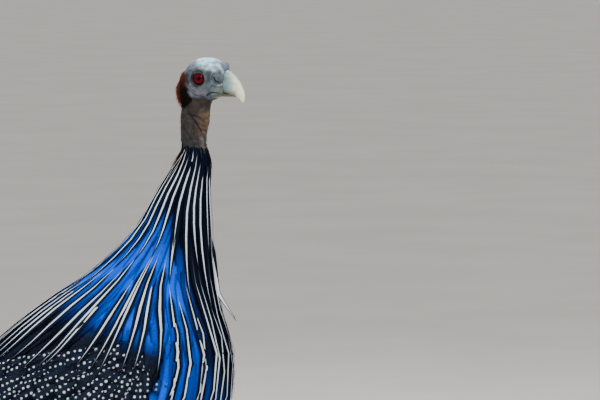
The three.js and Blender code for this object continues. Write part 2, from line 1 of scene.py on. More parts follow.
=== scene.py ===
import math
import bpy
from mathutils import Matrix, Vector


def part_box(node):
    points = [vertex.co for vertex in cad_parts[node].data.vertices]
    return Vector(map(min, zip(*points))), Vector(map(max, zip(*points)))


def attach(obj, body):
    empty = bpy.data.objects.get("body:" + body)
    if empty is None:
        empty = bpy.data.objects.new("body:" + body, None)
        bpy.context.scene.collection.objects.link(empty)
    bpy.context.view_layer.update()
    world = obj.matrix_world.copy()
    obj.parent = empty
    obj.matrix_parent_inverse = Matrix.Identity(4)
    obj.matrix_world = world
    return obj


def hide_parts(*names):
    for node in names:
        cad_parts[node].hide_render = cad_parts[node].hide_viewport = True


bl_info = {
    "name": "Vulturine guineafowl",
    "version": (1, 0, 0),
    "blender": (4, 5, 0),
    "location": "View3D > Sidebar > Guineafowl",
    "description": "Builds a life-size vulturine guineafowl, feather by feather, on its packed frame",
    "category": "Object",
}

import bpy
import numpy as np
from mathutils import Vector
from mathutils.kdtree import KDTree

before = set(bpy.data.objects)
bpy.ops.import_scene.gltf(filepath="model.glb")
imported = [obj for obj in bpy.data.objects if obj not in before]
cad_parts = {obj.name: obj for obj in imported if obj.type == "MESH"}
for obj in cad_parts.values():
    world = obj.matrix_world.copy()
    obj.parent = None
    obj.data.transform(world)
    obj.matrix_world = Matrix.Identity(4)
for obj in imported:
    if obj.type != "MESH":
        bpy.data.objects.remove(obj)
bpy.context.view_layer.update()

MM = 0.001
LEFT = 1
RIGHT = -1
SIDES = (("left", LEFT), ("right", RIGHT))

# The trunk from the skull to the tail's root, seen from the side, in millimetres: the edge of the back, the
# edge of the front, and half the width there. x is forward from under the neck, and z up from the floor.
TRUNK = np.array([
    # back x, z, front x, z, half width
    [-8, 582, 9, 580, 8],
    [-12.2, 562, 13.2, 560, 10.5],
    [-12.4, 541, 9.8, 538, 11],
    [-13, 526, 13, 521, 12.5],
    [-33, 496, 14.5, 484, 20],
    [-53, 460, 16.5, 440, 31],
    [-88, 426, 22, 395, 46],
    [-127, 400, 34, 350, 58],
    [-168, 368, 26, 292, 65],
    [-203, 333, -12, 240, 66],
    [-232, 296, -72, 208, 57],
    [-252, 266, -135, 206, 41],
    [-266, 246, -190, 214, 22],
    [-273, 236, -216, 222, 11],
], dtype=float)
TAIL_ROOT = 13.0
HACKLE_DEPTH = 8.5
COAT_DEPTH = 4.5

# The skull, in the head's own frame: x towards the bill and z up, from the middle of the skull at eye height.
# The last number is how far the ring is turned with the head.
HEAD_PLACE = np.array([8.8, 0.0, 591.7])
HEAD_TURN = math.radians(-20)
SKULL = np.array([
    # back x, z, front x, z, half width, turned
    [-21, -29.7, 4.4, -31.7, 10.6, 0.0],
    [-20.4, -22, 4.8, -25.5, 10.9, 0.2],
    [-20.6, -14, 5.6, -21.4, 11.6, 0.5],
    [-21.0, -6, 6.8, -19.2, 12.7, 0.8],
    [-19.6, 3.5, 8.6, -18.6, 13.8, 1.0],
    [-15.5, 11, 9.8, -18, 14.4, 1.0],
    [-9.5, 15.8, 10.8, -17.6, 14.6, 1.0],
    [-2.5, 18, 11.6, -17.2, 14.4, 1.0],
    [4.5, 18.4, 12.4, -16.8, 13.8, 1.0],
    [10.8, 17.6, 13.6, -16.2, 12.4, 1.0],
    [16.4, 15.2, 15.4, -15.4, 10.8, 1.0],
    [20.2, 11.8, 17.8, -14.4, 9.2, 1.0],
    [22.2, 8.2, 19.6, -12.9, 7.3, 1.0],
    [21.2, 1, 19.6, -7, 0.4, 1.0],
], dtype=float)
EYE_PLACE = np.array([0.0, 8.2, 0.6])
EYE_RADIUS = 7.1
EYE_OUT = 7.8
GAZE_FORWARD = 0.16
GAZE_UP = 0.02
BILL_UPPER = np.array([
    # back x, z, front x, z, half width
    [14.4, 11.4, 10.4, -11.8, 9.0],
    [19.2, 9.2, 14.0, -11.6, 8.1],
    [25.4, 5.9, 20, -11.9, 6.3],
    [31.6, 0.4, 26.5, -13.4, 4.8],
    [36.2, -6.8, 31.5, -15.2, 3.4],
    [38.6, -13.6, 34.9, -17.8, 2.1],
    [38.2, -18.6, 36.0, -19.6, 1.1],
    [37.3, -19.9, 36.9, -19.9, 0.3],
], dtype=float)
BILL_LOWER = np.array([
    [9, -11.9, 8, -17.2, 7.7],
    [18, -11.9, 17, -15.6, 5.4],
    [25, -13.4, 24.6, -15.4, 3.9],
    [29.5, -14.6, 29.5, -15.4, 1.8],
    [30.6, -15.0, 30.6, -15.2, 0.6],
], dtype=float)

# The legs
KNEE = (-70, 28, 232)
HOCK = (-126, 36, 112)
ANKLE = (-103, 36, 13)
STRIDE = {"left": -9, "right": 9}
LEG_RADII = np.array([22, 31, 22, 11, 8.2, 4.9, 5.1, 6.2], dtype=float)
TOE_HEIGHT = 3.3
TOES = (
    # name, turn outwards in degrees, length, radius, joints, claw length
    ("inner", -30, 36, 3.9, 2, 11),
    ("middle", 2, 50, 4.3, 3, 13),
    ("outer", 32, 38, 3.9, 3, 11),
)
HIND_TOE_RADIUS = 3.4

# The wings, in shares of their length and height
WING_START = 7.35
WING_END = 11.9
WING_LOW = np.array([104, 114, 119, 117, 108, 92], dtype=float)
WING_HIGH = np.array([84, 52, 34, 30, 44, 78], dtype=float)

# The tail, in its own frame: x towards its tip, z up off its upper side
TAIL_DROOP = math.radians(54)
TAIL_PLACE = np.array([-250.0, 0.0, 243.0])
TAIL_CURVE = 18.0


# Shapes


def spline(table, t):
    """Catmull-Rom values of a table's rows at t, which may be an array, with the ends repeated."""
    table = np.asarray(table, dtype=float)
    last = len(table) - 1
    t = np.asarray(t, dtype=float)
    i = np.clip(np.floor(t), 0, last - 1).astype(int)
    f = t - i
    if table.ndim > 1:
        f = f[..., None]
    a, b, c, d = (table[np.clip(i + k, 0, last)] for k in (-1, 0, 1, 2))
    u, v = (c - a) / 2, (d - b) / 2
    return (2 * b - 2 * c + u + v) * f**3 + (3 * c - 3 * b - 2 * u - v) * f**2 + u * f + b


def smooth(low, high, x):
    """Rises smoothly from 0 at low to 1 at high, or falls where low is the greater."""
    share = np.clip((np.asarray(x, dtype=float) - low) / (high - low), 0, 1)
    return share * share * (3 - 2 * share)


def bell(distance, width):
    """1 where distance is 0, falling off on both sides like a bell."""
    return np.exp(-((distance / width) ** 2))


def blended(colour, other, share):
    """Colours moved towards another by each place's share."""
    return colour + (np.array(other) - colour) * share[..., None]


def opaque(colours):
    """Rows of three numbers, each with an alpha of 1."""
    rows = np.asarray(colours).reshape(-1, 3)
    return np.concatenate([rows, np.ones((len(rows), 1))], axis=1)


def round_grid(along, around):
    """Each place along a form with each angle round it in degrees, as two grids."""
    return np.meshgrid(along, np.arange(around) / around * 360, indexing="ij")


def columns(count, *values):
    """One row a feather, from values that are one number for all or one for each."""
    return np.stack([np.broadcast_to(np.asarray(value, dtype=float), (count,)) for value in values], axis=1)


def unit(vectors):
    return vectors / np.maximum(np.linalg.norm(vectors, axis=-1, keepdims=True), 1e-9)


def ring_point(stations, t, degrees, out=0.0):
    """A point of the loft through stations. 0 degrees is its back edge, 180 its front, 90 its left side."""
    t, degrees, out = np.broadcast_arrays(*(np.asarray(v, dtype=float) for v in (t, degrees, out)))
    values = spline(stations, t)
    angle = np.radians(degrees)
    back, front = values[..., 0:2], values[..., 2:4]
    centre = (back + front) / 2
    depth = np.linalg.norm(back - front, axis=-1) / 2
    up = unit(back - front)
    reach = (np.cos(angle) * (depth + out))[..., None]
    flat = centre + up * reach
    return np.stack([flat[..., 0], np.sin(angle) * (values[..., 4] + out), flat[..., 1]], axis=-1)


def trunk_point(t, degrees, out=0.0):
    return ring_point(TRUNK, t, degrees, out)


def trunk_up(t, degrees):
    return unit(trunk_point(t, degrees, 1.0) - trunk_point(t, degrees, -1.0))


def skin_depth(t):
    """How far the skin lies under the plumage's outline."""
    t = np.asarray(t, dtype=float)
    hackles = HACKLE_DEPTH * smooth(3.1, 4.6, t) * (1 - smooth(7.4, 8.6, t))
    body = COAT_DEPTH * smooth(7.4, 8.6, t)
    return hackles + body


def wing_angles(u):
    """How far from the back the folded wing's lower and upper edges lie."""
    place = np.clip(u, 0, 1.08) * (len(WING_LOW) - 1)
    return spline(WING_LOW, place), spline(WING_HIGH, place)


def wing_point(side, u, v, out):
    """A point of the folded wing: u along it from 0 to 1, v up it, out over the body's outline."""
    low, high = wing_angles(u)
    t = WING_START + (WING_END - WING_START) * u
    return trunk_point(t, side * (low + (high - low) * v), out)


def along_wing(t):
    """How far along the wing a station of the trunk is, from 0 to 1."""
    return (t - WING_START) / (WING_END - WING_START)


def wing_cover(t, degrees):
    """The share of the wing, from 0 to 1, that hides this place on the body, with soft edges."""
    u = along_wing(t)
    low, high = wing_angles(np.clip(u, 0, 1))
    v = (np.abs(degrees) - low) / (high - low)
    along = smooth(-0.02, 0.06, u) * (1 - smooth(0.86, 0.98, u))
    return along * smooth(-0.04, 0.08, v) * (1 - smooth(0.9, 1.02, v))


def in_head_frame(points, turned=1.0):
    """Points of the head's frame in the bird's."""
    angle = HEAD_TURN * np.asarray(turned, dtype=float)
    c, s = np.cos(angle), np.sin(angle)
    x = points[..., 0] * c - points[..., 1] * s
    y = points[..., 0] * s + points[..., 1] * c
    return np.stack([x, y, points[..., 2]], axis=-1) + HEAD_PLACE


def in_tail_frame(points):
    """Points of the tail's frame, x to its tip, in the bird's."""
    c, s = math.cos(TAIL_DROOP), math.sin(TAIL_DROOP)
    x, y, z = points[..., 0], points[..., 1], points[..., 2]
    return np.stack([-(x * c + z * s), -y, -x * s + z * c], axis=-1) + TAIL_PLACE


def frame_offset():
    """Where the part's origin puts the bird, read from the eye's place in the frame."""
    low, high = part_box("eye_right")
    there = (Vector(low) + Vector(high)) / 2 / MM
    named = in_head_frame(EYE_PLACE * np.array([1, RIGHT, 1]))
    return np.array([there.x - named[0], 0.0, 0.0])


OFFSET = frame_offset()


def leg_route(side, name):
    """The middle line of one leg, from over the knee to the ankle."""
    step = STRIDE[name]
    knee, hock, ankle = ((x + step, side * y, z) for x, y, z in (KNEE, HOCK, ANKLE))
    knee = (knee[0] - step * 0.6, knee[1], knee[2])
    return np.array([
        (knee[0] + 4, knee[1], knee[2] + 22),
        (knee[0] - 8, knee[1] + side, knee[2] - 22),
        (knee[0] - 30, knee[1] + side, knee[2] - 68),
        (hock[0] + 5, hock[1], hock[2] + 13),
        (hock[0] + 0.5, hock[1], hock[2] - 4),
        ((hock[0] + ankle[0]) / 2 + 1, hock[1], (hock[2] + ankle[2]) / 2),
        (ankle[0] - 1, ankle[1], ankle[2] + 8),
        (ankle[0] + 1.5, ankle[1], 4.5),
    ])


def limb_point(route, radii, share, degrees, out=0.0, reference=(0, 1, 0)):
    """A point on a round limb along a route. 0 degrees is its upper or back edge as reference turns it."""
    share, degrees, out = np.broadcast_arrays(*(np.asarray(v, dtype=float) for v in (share, degrees, out)))
    place = share * (len(route) - 1)
    centre = spline(route, place)
    tangent = unit(spline(route, place + 0.01) - spline(route, place - 0.01))
    side = unit(np.cross(np.asarray(reference, dtype=float), tangent))
    up = np.cross(tangent, side)
    radius = spline(radii, share * (len(radii) - 1)) + out
    angle = np.radians(degrees)
    return centre + up * (np.cos(angle) * radius)[..., None] + side * (np.sin(angle) * radius)[..., None]


# Meshes


def make_piece(name, points, faces, material, uvs=None, attributes=None):
    """A piece from arrays. points are millimetres in the bird's place; uvs and attributes are per point."""
    mesh = bpy.data.meshes.new(name)
    places = (np.asarray(points, dtype=float) + OFFSET) * MM
    mesh.from_pydata(places.tolist(), [], faces)
    corners = np.zeros(len(mesh.loops), dtype=np.int32)
    mesh.loops.foreach_get("vertex_index", corners)
    for title, values in (uvs or {}).items():
        layer = mesh.uv_layers.new(name=title)
        layer.uv.foreach_set("vector", np.asarray(values, dtype=np.float32)[corners].ravel())
    for title, values in (attributes or {}).items():
        layer = mesh.color_attributes.new(name=title, type="FLOAT_COLOR", domain="POINT")
        layer.data.foreach_set("color", np.asarray(values, dtype=np.float32).ravel())
    mesh.polygons.foreach_set("use_smooth", np.ones(len(mesh.polygons), dtype=bool))
    mesh.materials.append(material)
    mesh.update()
    piece = bpy.data.objects.new(name, mesh)
    bpy.context.collection.objects.link(piece)
    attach(piece, "root")
    return piece


def grid_faces(rows, columns, closed=True):
    """The quads of a grid of points, its rows closed round."""
    quads = []
    around = columns if closed else columns - 1
    for row in range(rows - 1):
        for column in range(around):
            after = (column + 1) % columns
            here = row * columns
            quads.append((here + column, here + columns + column, here + columns + after, here + after))
    return quads


def turned_out(points, faces):
    """The faces, reversed where the closed surface they make is inside out."""
    fans = np.array([(face[0], face[i], face[i + 1]) for face in faces for i in range(1, len(face) - 1)])
    a, b, c = (points[fans[:, k]] for k in range(3))
    volume = np.einsum("ij,ij->i", a, np.cross(b, c)).sum()
    return faces if volume > 0 else [tuple(reversed(face)) for face in faces]


def tube(grid):
    """The points and faces of a closed tube whose rings are the rows of the grid."""
    rows, columns, _ = grid.shape
    points = grid.reshape(-1, 3)
    faces = grid_faces(rows, columns)
    faces.append(tuple(range(columns)))
    faces.append(tuple((rows - 1) * columns + i for i in range(columns - 1, -1, -1)))
    return points, turned_out(points, faces)


def joined(parts):
    """Several (points, faces) as one."""
    points, faces, count = [], [], 0
    for part_points, part_faces in parts:
        points.append(part_points)
        faces.extend(tuple(i + count for i in face) for face in part_faces)
        count += len(part_points)
    return np.concatenate(points), faces


# Feathers. Each is a thin closed vane: its upper face has a few points across, and one lies under its shaft.
HACKLE_SHAPE = (
    (0, 0.1, 0.22, 0.36, 0.5, 0.64, 0.76, 0.87, 0.95, 1),
    (0.3, 0.6, 0.85, 1, 0.98, 0.82, 0.6, 0.36, 0.18, 0.03),
)
BODY_SHAPE = ((0, 0.45, 0.82, 1), (0.5, 1, 0.92, 0.42))
LONG_BODY_SHAPE = ((0, 0.3, 0.6, 0.85, 1), (0.45, 0.95, 1, 0.7, 0.16))
QUILL_SHAPE = (
    (0, 0.15, 0.35, 0.55, 0.75, 0.88, 0.96, 1),
    (0.3, 0.75, 0.95, 1, 0.97, 0.86, 0.6, 0.25),
)
STREAMER_SHAPE = (
    (0, 0.1, 0.25, 0.4, 0.55, 0.7, 0.82, 0.92, 1),
    (0.5, 0.9, 1, 0.95, 0.82, 0.62, 0.42, 0.24, 0.04),
)
TUFT_SHAPE = ((0, 0.5, 1), (1, 0.8, 0.06))
FINE_ACROSS = (-1, -0.5, 0, 0.5, 1)
PLAIN_ACROSS = (-1, 0, 1)
SHAFT_RIDGE = 0.05
# A feather's patch on the unwrap, and the size map's units in a millimetre
PATCH = 0.003
SIZE_UNITS = 0.1
# Between a feather's spots, across it and along it
SPOT_GAP = 6.1
SPOT_ROW = 5.0


def vane_faces(rings, per_ring):
    """The faces of one feather, whose rings of points follow each other."""
    faces = []
    for ring in range(rings - 1):
        here, there = ring * per_ring, (ring + 1) * per_ring
        for k in range(per_ring):
            after = (k + 1) % per_ring
            faces.append((here + k, there + k, there + after, here + after))
    faces.append(tuple(range(per_ring)))
    faces.append(tuple((rings - 1) * per_ring + k for k in range(per_ring - 1, -1, -1)))
    return faces


class Coat:
    """Collects feathers for one piece."""

    def __init__(self):
        self.points, self.faces, self.vane, self.size, self.bake = [], [], [], [], []
        self.tone, self.shade, self.count = [], [], 0

    def grow(
        self, centres, ups, half, shape, root, tone, shade, across=PLAIN_ACROSS, thick=0.3, cup=0.12, roll=0.0
    ):
        """Adds many feathers: centres and ups are (feathers, rings, 3), half the half widths, root places on
        the unwrap, tone (blue, spots, stripe, vermiculation) and shade (lilac, light, warm, seed) of each."""
        shares, widths = (np.array(values) for values in shape)
        across = np.array(across, dtype=float)
        feathers, rings = centres.shape[:2]
        roll = np.broadcast_to(np.asarray(roll, dtype=float), (feathers,))
        tangent = unit(np.gradient(centres, axis=1))
        side = unit(np.cross(ups, tangent))
        up = np.cross(tangent, side)
        c, s = (f(roll)[:, None, None] for f in (np.cos, np.sin))
        side, up = side * c + up * s, up * c - side * s
        wide = np.asarray(half)[:, None] * widths[None, :]
        tops = []
        for a in across:
            lift = wide * (SHAFT_RIDGE * (1 - abs(a)) - cup * a * a)
            tops.append(centres + side * (a * wide)[..., None] + up * lift[..., None])
        under = centres - up * (thick * (1 - 0.6 * shares))[None, :, None]
        ring = np.stack(tops + [under], axis=2)
        per_ring = ring.shape[2]
        points = ring.reshape(-1, 3)
        template = vane_faces(rings, per_ring)
        for n in range(feathers):
            base = self.count + n * rings * per_ring
            self.faces.extend(tuple(base + i for i in face) for face in template)
        lateral = np.concatenate([across, [0.0]])
        vane = np.empty((feathers, rings, per_ring, 2))
        vane[..., 0] = lateral
        vane[..., 1] = shares[None, :, None]
        length = np.linalg.norm(np.diff(centres, axis=1), axis=2).sum(axis=1)
        size = np.empty_like(vane)
        size[..., 0] = lateral * wide[..., None] * SIZE_UNITS
        size[..., 1] = (1 - shares)[None, :, None] * length[:, None, None] * SIZE_UNITS
        bake = np.asarray(root)[:, None, None, :] + PATCH * (vane * (0.5, 1) + (0, -0.5))
        spread = (feathers, rings, per_ring, 4)
        tone, shade = (np.asarray(v, dtype=float) for v in (tone, shade))
        tone, shade = (v[:, None, None, :] if v.ndim == 2 else v[:, :, None, :] for v in (tone, shade))
        self.points.append(points)
        self.vane.append(vane.reshape(-1, 2))
        self.size.append(size.reshape(-1, 2))
        self.bake.append(bake.reshape(-1, 2))
        self.tone.append(np.broadcast_to(tone, spread).reshape(-1, 4))
        self.shade.append(np.broadcast_to(shade, spread).reshape(-1, 4))
        self.count += len(points)

    def piece(self, name, material, slot):
        uvs = {"vane": np.concatenate(self.vane), "size": np.concatenate(self.size)}
        uvs["OFBake"] = np.clip(np.concatenate(self.bake), 0.0, 1.0)
        attributes = {"tone": np.concatenate(self.tone), "shade": np.concatenate(self.shade)}
        return make_piece(name, np.concatenate(self.points), self.faces, material, uvs, attributes)


def trunk_unwrap(t, degrees):
    """The place on the skin's unwrap, round the trunk and along it."""
    return np.stack([np.mod(np.asarray(degrees) / 360 + 0.5, 1.0), np.asarray(t) / (TAIL_ROOT + 1)], axis=-1)


def trunk_path(t, degrees, out, shares):
    """Feathers' centre lines on the trunk, between the two ends that each row of t, degrees and out gives,
    and which way is out from it."""
    shares = np.asarray(shares)[None, :]
    place = [pair[:, :1] + (pair[:, 1:] - pair[:, :1]) * shares for pair in (t, degrees, out)]
    return trunk_point(*place), trunk_up(place[0], place[1])


def along_trunk(t, degrees, length):
    """How many stations a length in millimetres spans there."""
    step = np.linalg.norm(trunk_point(t + 0.05, degrees) - trunk_point(t - 0.05, degrees), axis=-1) / 0.1
    return length / np.maximum(step, 8.0)


def lattice(rng, first, last, row_gap, gap):
    """Places set like bricks over the trunk between two stations: arrays of t and degrees."""
    ts, degrees = [], []
    t, row = first, 0
    while t < last:
        ring = trunk_point(t, np.linspace(0, 360, 41))
        round_length = np.linalg.norm(np.diff(ring, axis=0), axis=1).sum()
        count = max(6, int(round_length / gap))
        angle = (np.arange(count) + 0.5 * (row % 2)) / count * 360 - 180
        ts.append(t + rng.uniform(-0.25, 0.25, count) * along_trunk(t, 90.0, row_gap))
        degrees.append(angle + rng.uniform(-0.25, 0.25, count) * 360 / count)
        t += float(along_trunk(t, 90.0, row_gap))
        row += 1
    return np.concatenate(ts), np.concatenate(degrees)


# Materials


SOCKETS = {"specular": "Specular IOR Level"}


class Tree:
    """Short ways to make the nodes of one material."""

    def __init__(self, name, **finish):
        self.material = bpy.data.materials.new(name)
        self.material.use_nodes = True
        self.nodes = self.material.node_tree.nodes
        self.links = self.material.node_tree.links
        self.surface = next(node for node in self.nodes if node.type == "BSDF_PRINCIPLED")
        for socket, value in finish.items():
            self.put(self.surface.inputs[SOCKETS.get(socket, socket.replace("_", " ").title())], value)

    def put(self, socket, value):
        if isinstance(value, bpy.types.NodeSocket):
            self.links.new(value, socket)
        elif isinstance(value, tuple) and socket.type == "RGBA":
            socket.default_value = (*value, 1.0)
        else:
            socket.default_value = value

    def node(self, kind, inputs=None, **settings):
        made = self.nodes.new("ShaderNode" + kind)
        for key, value in settings.items():
            setattr(made, key, value)
        for key, value in (inputs or {}).items():
            self.put(made.inputs[key], value)
        return made

    def math(self, operation, a, b=0.0):
        return self.node("Math", {0: a, 1: b}, operation=operation).outputs[0]

    def times(self, *values):
        total = values[0]
        for value in values[1:]:
            total = self.math("MULTIPLY", total, value)
        return total

    def plus(self, a, b):
        return self.math("ADD", a, b)

    def step(self, value, low, high):
        """Rises smoothly from 0 at low to 1 at high, or falls where low is the greater."""
        inputs = {"Value": value, "From Min": low, "From Max": high}
        return self.node("MapRange", inputs, interpolation_type="SMOOTHSTEP").outputs["Result"]

    def mix(self, factor, a, b, blend="MIX"):
        return self.node("Mix", {0: factor, 6: a, 7: b}, data_type="RGBA", blend_type=blend).outputs[2]

    def parts(self, vector):
        return self.node("SeparateXYZ", {0: vector}).outputs

    def vector(self, x, y, z=0.0):
        return self.node("CombineXYZ", {0: x, 1: y, 2: z}).outputs[0]

    def uv(self, name):
        return self.parts(self.node("UVMap", uv_map=name).outputs[0])

    def attribute(self, name):
        found = self.node("Attribute", attribute_name=name)
        parts = self.node("SeparateColor", {0: found.outputs["Color"]}).outputs
        return found.outputs["Color"], parts[0], parts[1], parts[2], found.outputs["Alpha"]

    def place(self):
        return self.node("TexCoord").outputs["Object"]

    def noise(self, vector, scale, detail=2.0, roughness=0.5):
        inputs = {"Vector": vector, "Scale": scale, "Detail": detail, "Roughness": roughness}
        return self.node("TexNoise", inputs).outputs[0]

    def lit(self, colour, light):
        """The colour made darker or lighter, and left as it is where light is a half."""
        inputs = {0: colour, "Scale": self.times(light, 2.0)}
        return self.node("VectorMath", inputs, operation="SCALE").outputs[0]

    def bump(self, height, strength, distance):
        made = self.node("Bump", {"Height": height, "Strength": strength, "Distance": distance})
        self.put(self.surface.inputs["Normal"], made.outputs[0])

    def colour(self, value):
        self.put(self.surface.inputs["Base Color"], value)
        return self.material


def plumage_material():
    """Feathers: white shaft stripes with dark borders, blue outer vanes, slate ground, spots, fine marks."""
    tree = Tree("plumage", roughness=0.65, specular=0.0)
    vane_x, vane_y, _ = tree.uv("vane")
    size_x, size_y, _ = tree.uv("size")
    _, blue, spots, stripe, fine = tree.attribute("tone")
    _, lilac, light, warm, seed = tree.attribute("shade")
    sideways = tree.times(size_x, 1 / SIZE_UNITS)
    across = tree.math("ABSOLUTE", sideways)
    along = tree.times(size_y, 1 / SIZE_UNITS)

    barbs = tree.vector(
        tree.times(across, 0.25),
        tree.plus(tree.times(along, 1.5), tree.times(across, 1.3)),
        tree.times(seed, 90.0),
    )
    barb = tree.noise(barbs, 1.6, 2.0)
    wavy = tree.plus(across, tree.times(tree.math("SUBTRACT", barb, 0.5), 0.5))

    ground = tree.mix(barb, (0.002, 0.0035, 0.009), (0.007, 0.011, 0.024))
    ground = tree.mix(warm, ground, (0.009, 0.014, 0.028))
    speck = tree.noise(tree.vector(sideways, along, tree.times(seed, 70.0)), 2.6, 3.0, 0.65)
    ground = tree.mix(tree.times(fine, tree.step(speck, 0.52, 0.66)), ground, (0.035, 0.045, 0.07))

    edge = tree.math("ABSOLUTE", vane_x)
    deep = tree.mix(barb, (0.0, 0.035, 0.36), (0.0, 0.135, 1.0))
    taper = tree.times(stripe, 1.25, tree.step(vane_y, 1.0, 0.62))
    unstriped = tree.step(stripe, 0.3, 0.0)
    reach = tree.plus(tree.math("SUBTRACT", wavy, tree.times(taper, 1.3)), tree.times(unstriped, 4.5))
    coloured = tree.mix(tree.times(blue, tree.step(reach, 1.4, 4.1)), ground, deep)
    coloured = tree.mix(tree.times(lilac, tree.step(edge, 0.5, 0.9)), coloured, (0.24, 0.13, 0.4))

    column = tree.plus(tree.times(sideways, 1 / SPOT_GAP), 20.0)
    row = tree.times(along, 1 / SPOT_ROW)
    cell = tree.vector(tree.math("FLOOR", column), tree.math("FLOOR", row), tree.times(seed, 90.0))
    chance = tree.node("TexWhiteNoise", {"Vector": cell}, noise_dimensions="3D").outputs["Color"]
    chance_x, chance_y, chance_size = tree.node("SeparateColor", {0: chance}).outputs
    centre_x = tree.plus(tree.times(chance_x, 0.22), 0.39)
    centre_y = tree.plus(tree.times(chance_y, 0.22), 0.39)
    in_column = tree.times(tree.math("SUBTRACT", tree.math("FRACT", column), centre_x), SPOT_GAP)
    in_row = tree.times(tree.math("SUBTRACT", tree.math("FRACT", row), centre_y), SPOT_ROW)
    apart = tree.math("SQRT", tree.plus(tree.times(in_column, in_column), tree.times(in_row, in_row, 0.75)))
    radius = tree.plus(tree.times(chance_size, 0.4), 0.72)
    spot = tree.step(tree.math("SUBTRACT", apart, radius), 0.2, -0.14)
    spot = tree.times(spots, spot, tree.step(edge, 0.94, 0.78))
    coloured = tree.mix(spot, coloured, (0.62, 0.7, 0.8))

    white = tree.mix(barb, (0.5, 0.6, 0.72), (0.84, 0.92, 1.0))
    inside = tree.step(tree.math("SUBTRACT", across, taper), 0.16, -0.16)
    line = tree.times(inside, tree.step(taper, 0.0, 0.14))
    coloured = tree.mix(line, coloured, white)
    tree.bump(barb, 0.25, 0.0004)
    return tree.colour(tree.lit(coloured, light))


def skin_material():
    tree = Tree("bare skin", roughness=0.5, specular=0.12)
    tint = tree.attribute("tint")[0]
    coarse = tree.noise(tree.place(), 260.0, 4.0, 0.6)
    fine = tree.noise(tree.place(), 1400.0, 3.0, 0.6)
    dark = tree.mix(1.0, tint, (0.55, 0.56, 0.6), blend="MULTIPLY")
    mottled = tree.mix(tree.step(coarse, 0.62, 0.36), tint, dark)
    pits = tree.plus(tree.times(coarse, 0.7), tree.times(fine, 0.5))
    tree.bump(pits, 0.45, 0.0006)
    return tree.colour(mottled)


def horn_material():
    tree = Tree("bill horn", roughness=0.34, specular=0.3, coat_weight=0.12)
    tint = tree.attribute("tint")[0]
    streaks = tree.noise(tree.place(), 320.0, 3.0, 0.55)
    dull = tree.mix(1.0, tint, (0.74, 0.78, 0.74), blend="MULTIPLY")
    tree.bump(streaks, 0.12, 0.0003)
    return tree.colour(tree.mix(tree.step(streaks, 0.65, 0.35), tint, dull))


def eye_material():
    tree = Tree("eye", roughness=0.3, specular=0.03, coat_weight=0.07, coat_roughness=0.02)
    round_x, latitude, _ = tree.uv("UVMap")
    rays = tree.noise(tree.vector(tree.times(round_x, 40.0), tree.times(latitude, 3.0)), 1.5, 2.0)
    iris = tree.mix(rays, (0.03, 0.0003, 0.003), (0.13, 0.0008, 0.009))
    iris = tree.mix(tree.step(latitude, 0.77, 0.7), iris, (0.012, 0.0005, 0.001))
    return tree.colour(tree.mix(tree.step(latitude, 0.905, 0.92), iris, (0.001, 0.0005, 0.0005)))


def plain_material(name, first, second, scale, **finish):
    """Two tones mottled by noise in the piece's place."""
    tree = Tree(name, **finish)
    mottle = tree.noise(tree.place(), scale, 3.0, 0.6)
    tree.bump(mottle, 0.2, 0.0003)
    return tree.colour(tree.mix(tree.step(mottle, 0.35, 0.65), first, second))


def down_material():
    """Chestnut down, nearly black where the tone's spots are full."""
    tree = Tree("nape down", roughness=0.8, specular=0.08)
    _, _, black, _, _ = tree.attribute("tone")
    _, _, light, _, _ = tree.attribute("shade")
    vane_y = tree.uv("vane")[1]
    chestnut = tree.mix(vane_y, (0.07, 0.014, 0.006), (0.21, 0.05, 0.018))
    colour = tree.mix(black, chestnut, (0.005, 0.003, 0.003))
    return tree.colour(tree.lit(colour, light))


def bristle_material():
    tree = Tree("bristles", roughness=0.6, specular=0.2)
    pale = tree.attribute("tone")[1]
    return tree.colour(tree.mix(pale, (0.012, 0.011, 0.012), (0.6, 0.5, 0.38)))


def claw_material():
    return plain_material("claws", (0.03, 0.028, 0.026), (0.1, 0.09, 0.08), 700.0, roughness=0.35)


MATERIAL_MAKERS = {
    "plumage": plumage_material,
    "skin": skin_material,
    "horn": horn_material,
    "eye": eye_material,
    "down": down_material,
    "bristle": bristle_material,
    "claw": claw_material,
}
made_materials = {}


def material(name):
    """The material of this name, made when it is first wanted."""
    if name not in made_materials:
        made_materials[name] = MATERIAL_MAKERS[name]()
    return made_materials[name]


# Skin

SKIN_AROUND = 192
HEAD_TINT = (0.085, 0.112, 0.15)
BODY_TINT = (0.012, 0.016, 0.03)
HIDDEN_BLUE = (0.006, 0.02, 0.09)
LEG_TINT = (0.055, 0.058, 0.066)


def bulge(points, place, radii):
    """1 at a place, falling smoothly to 0 at the radii round it. The place's y is taken on both sides."""
    folded = np.where((False, True, False), np.abs(points), points)
    return 1 - smooth(0, 1, np.linalg.norm((folded - place) / radii, axis=-1))


def off_line(points, route):
    """How far points lie from a line of (x, z) places, seen from the side."""
    nearest = np.full(points.shape[:-1], 1e9)
    flat = points[..., [0, 2]]
    for a, b in zip(np.array(route[:-1], dtype=float), np.array(route[1:], dtype=float)):
        span = b - a
        share = np.clip(((flat - a) @ span) / (span @ span), 0, 1)
        nearest = np.minimum(nearest, np.linalg.norm(flat - a - share[..., None] * span, axis=-1))
    return nearest


